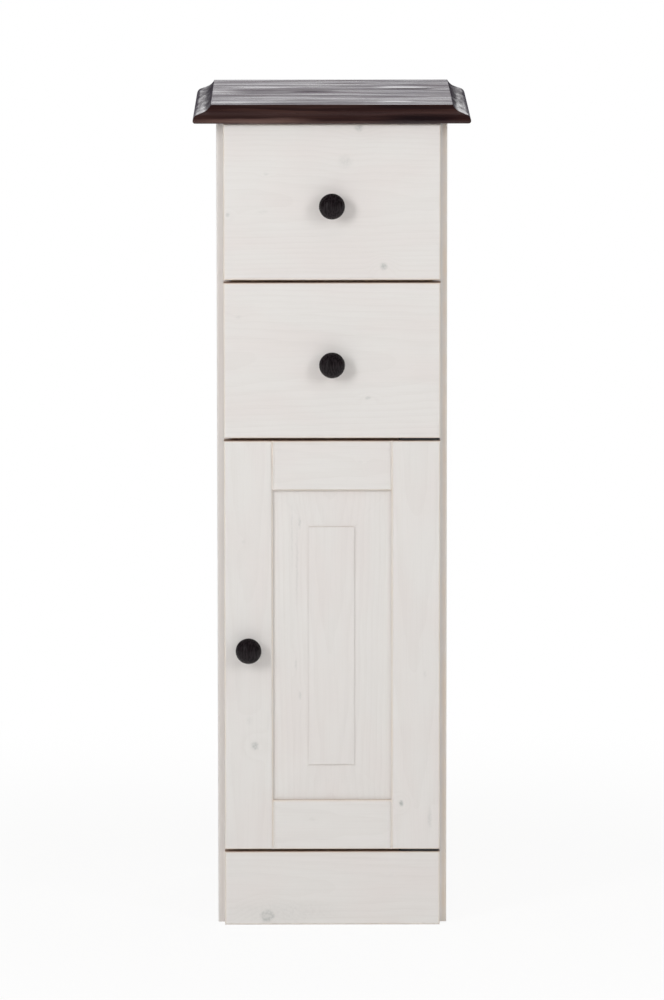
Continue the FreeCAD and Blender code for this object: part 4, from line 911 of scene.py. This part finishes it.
class CABINET_OT_nail_back(bpy.types.Operator):
    """Nail the back panel to the boards"""
    bl_idname = "cabinet.nail_back"
    bl_label = "Nail Back Panel"

    def execute(self, context):
        sizes = context.scene.cabinet_fasteners
        steel = plated_steel(context.scene.cabinet_finish)
        radius = sizes.nail_head / 2
        head = bpy.data.meshes.new("nail_head")
        shape = revolved([(across * radius, up * radius) for across, up in NAIL_SHARES], NAIL_SEGMENTS)
        shape.to_mesh(head)
        shape.free()
        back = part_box("back_panel")[1].y
        nails = []
        for board in ("bottom_board", "fixed_shelf", "top_rail_back"):
            low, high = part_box(board)
            for count in range(sizes.nails_per_board):
                share = (count + 0.5) / sizes.nails_per_board
                nails.append(((low.x + share * (high.x - low.x), back, (low.z + high.z) / 2), (0, 1, 0)))
        fasten(repeated("back_panel_nails", head, nails), "carcass", steel)
        return {"FINISHED"}


class CABINET_OT_set_stage(bpy.types.Operator):
    """Lay the floor, hang the lamps and set up the camera"""
    bl_idname = "cabinet.set_stage"
    bl_label = "Set Stage"

    def execute(self, context):
        stage = context.scene.cabinet_stage
        context.scene.view_settings.view_transform = "Standard"
        self.lay_floor(stage)
        self.light_studio(context.scene, stage)
        self.hang_lamps(stage)
        self.place_camera(context.scene, stage)
        return {"FINISHED"}

    def lay_floor(self, stage):
        """Paper that is the white of the background away from the cabinet, and keeps the shadow near it."""
        half_size = 40
        shadow_end = 350 * MM
        white_from = 1200 * MM
        # Real paper fibres are finer than a pixel, so they are drawn this long
        fibre = 3 * MM
        shape = bmesh.new()
        bmesh.ops.create_grid(shape, x_segments=2, y_segments=2, size=half_size)
        floor = mesh_piece("studio_floor", shape)
        material, add, coordinates = new_material("matt_studio_paper")
        place = coordinates["Object"]
        far = add("VectorMath", {"operation": "LENGTH"}, {0: place}).outputs["Value"]
        open_floor = add("MapRange",
                         {**SMOOTH, "From Min": shadow_end, "From Max": white_from,
                          "To Min": stage.floor_white}, {"Value": far})
        rays = add("LightPath").outputs
        seen = folded(add, "MAXIMUM",
                      (rays["Is Camera Ray"], rays["Is Glossy Ray"], rays["Is Transmission Ray"]))
        share = add("Math", {"operation": "MULTIPLY"}, {0: seen, 1: open_floor})
        white = add("Emission", {"Color": (1, 1, 1, 1), "Strength": 1.0})
        fibres = add("TexNoise", {"Scale": 1 / fibre, "Detail": 2.0}, {"Vector": place})
        fleck = add("MapRange", {"From Min": 0.4, "From Max": 0.8, "To Max": 0.1}, {"Value": fibres})
        paper = add("Mix", {**COLOURS, "A": stage.floor, "B": stage.floor_fleck}, {"Factor": fleck})
        matt = add("BsdfPrincipled", {"Roughness": 0.9}, {"Base Color": paper})
        mixed = add("MixShader", {}, {0: share, 1: matt, 2: white})
        add("OutputMaterial", {}, {"Surface": mixed})
        floor.data.materials.append(material)

    def light_studio(self, scene, stage):
        """Even light all round, white where the camera sees it."""
        world = bpy.data.worlds.new("studio")
        scene.world = world
        world.use_nodes = True
        world.node_tree.nodes.clear()
        add = partial(add_node, world.node_tree)
        rays = add("LightPath").outputs
        way = add("SeparateXYZ", {}, {"Vector": add("TexCoord").outputs["Generated"]}).outputs
        # Gloss shows the white backdrop low behind the cabinet, and a dim room in front of it and above
        behind = add("MapRange", {**SMOOTH, "From Min": 0.2, "From Max": 0.7, "To Min": stage.room},
                     {"Value": way["Y"]})
        low_down = add("MapRange",
                       {**SMOOTH, "From Min": 0.3, "From Max": 0.6, "To Min": 1.0, "To Max": stage.room},
                       {"Value": way["Z"]})
        backdrop = add("Math", {"operation": "MINIMUM"}, {0: behind, 1: low_down})
        glossy = add("Math", {"operation": "MAXIMUM"},
                     {0: rays["Is Glossy Ray"], 1: rays["Is Transmission Ray"]})
        level = add("Mix", {"data_type": "FLOAT", "A": stage.ambient}, {"Factor": glossy, "B": backdrop})
        strength = add("Math", {"operation": "MAXIMUM"}, {0: level, 1: rays["Is Camera Ray"]})
        even = add("Background", {"Color": (1, 1, 1, 1)}, {"Strength": strength})
        add("OutputWorld", {}, {"Surface": even})

    def hang_lamps(self, stage):
        """Softboxes round the cabinet; gloss mirrors only the two in front."""
        aim = Vector((0, -150, 500)) * MM
        lamps = (
            Lamp("key_softbox", stage.key_power, -37, 21, 2.4, 0.5, 1.1),
            Lamp("fill_softbox", stage.fill_power, 39, 22, 2.4, 0.5, 1.1),
            Lamp("top_softbox", stage.top_power, 8, 78, 2.2, 1.6, 1.6),
            Lamp("back_softbox", stage.back_power, 168, 38, 2.6, 1.4, 1.4),
        )
        # Studio flags keep the glare of the two front lamps off the polished top
        flagged = bpy.data.collections.new("flagged_from_glare")
        flagged.objects.link(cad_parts["top_board"])
        flagged.collection_objects[0].light_linking.link_state = "EXCLUDE"
        for lamp in lamps:
            light = bpy.data.lights.new(lamp.name, "AREA")
            light.energy = lamp.power
            light.shape = "RECTANGLE"
            light.size = lamp.width
            light.size_y = lamp.height
            holder = bpy.data.objects.new(lamp.name, light)
            bpy.context.scene.collection.objects.link(holder)
            azimuth = math.radians(lamp.azimuth)
            elevation = math.radians(lamp.elevation)
            flat = math.cos(elevation)
            way = Vector((math.sin(azimuth) * flat, -math.cos(azimuth) * flat, math.sin(elevation)))
            holder.location = aim + way * lamp.distance
            holder.rotation_euler = way.to_track_quat("Z", "Y").to_euler()
            holder.visible_glossy = False
            if lamp.name in FRONT_LAMPS:
                glint = holder.copy()
                glint.visible_glossy = True
                glint.visible_diffuse = False
                glint.light_linking.receiver_collection = flagged
                bpy.context.scene.collection.objects.link(glint)

    def place_camera(self, scene, stage):
        """Long lens in front of the cabinet, looking down a little."""
        azimuth = math.radians(-0.195)
        tilt = math.radians(8.245)
        roll = math.radians(-0.042)
        target = Vector((-0.12, -147, 470.38)) * MM
        forward = Vector((-math.sin(azimuth) * math.cos(tilt), math.cos(azimuth) * math.cos(tilt),
                          -math.sin(tilt)))
        level = Vector((math.cos(azimuth), math.sin(azimuth), 0))
        upright = level.cross(forward)
        right = math.cos(roll) * level + math.sin(roll) * upright
        top = math.cos(roll) * upright - math.sin(roll) * level
        camera = bpy.data.objects.new("camera", bpy.data.cameras.new("camera"))
        scene.collection.objects.link(camera)
        camera.data.lens = stage.lens
        camera.data.clip_end = 200
        turn = Matrix((right, top, -forward)).transposed().to_4x4()
        camera.matrix_world = Matrix.Translation(target - forward * stage.distance) @ turn
        scene.camera = camera


class CABINET_PT_workshop(bpy.types.Panel):
    """Steps of the cabinet's finishing, in order"""
    bl_label = "Bathroom Cabinet"
    bl_space_type = "VIEW_3D"
    bl_region_type = "UI"
    bl_category = "Cabinet"

    def draw(self, context):
        for step in STEPS:
            self.layout.operator(step.bl_idname)


STEPS = (CABINET_OT_glaze_boards, CABINET_OT_stain_top, CABINET_OT_plane_boards, CABINET_OT_press_sheets,
         CABINET_OT_stain_knobs, CABINET_OT_coat_runners, CABINET_OT_plate_fittings,
         CABINET_OT_drive_runner_screws, CABINET_OT_drive_fitting_screws, CABINET_OT_nail_back,
         CABINET_OT_set_stage)
SETTINGS = {"cabinet_finish": CabinetFinish, "cabinet_fasteners": CabinetFasteners,
            "cabinet_stage": CabinetStage}


def register():
    for name, group in SETTINGS.items():
        bpy.utils.register_class(group)
        setattr(bpy.types.Scene, name, PointerProperty(type=group))
    for item in (*STEPS, CABINET_PT_workshop):
        bpy.utils.register_class(item)


def unregister():
    for item in (CABINET_PT_workshop, *reversed(STEPS)):
        bpy.utils.unregister_class(item)
    for name, group in SETTINGS.items():
        delattr(bpy.types.Scene, name)
        bpy.utils.unregister_class(group)


def main():
    register()
    for step in STEPS:
        group, name = step.bl_idname.split(".")
        getattr(getattr(bpy.ops, group), name)()


if __name__ == "__main__":
    main()
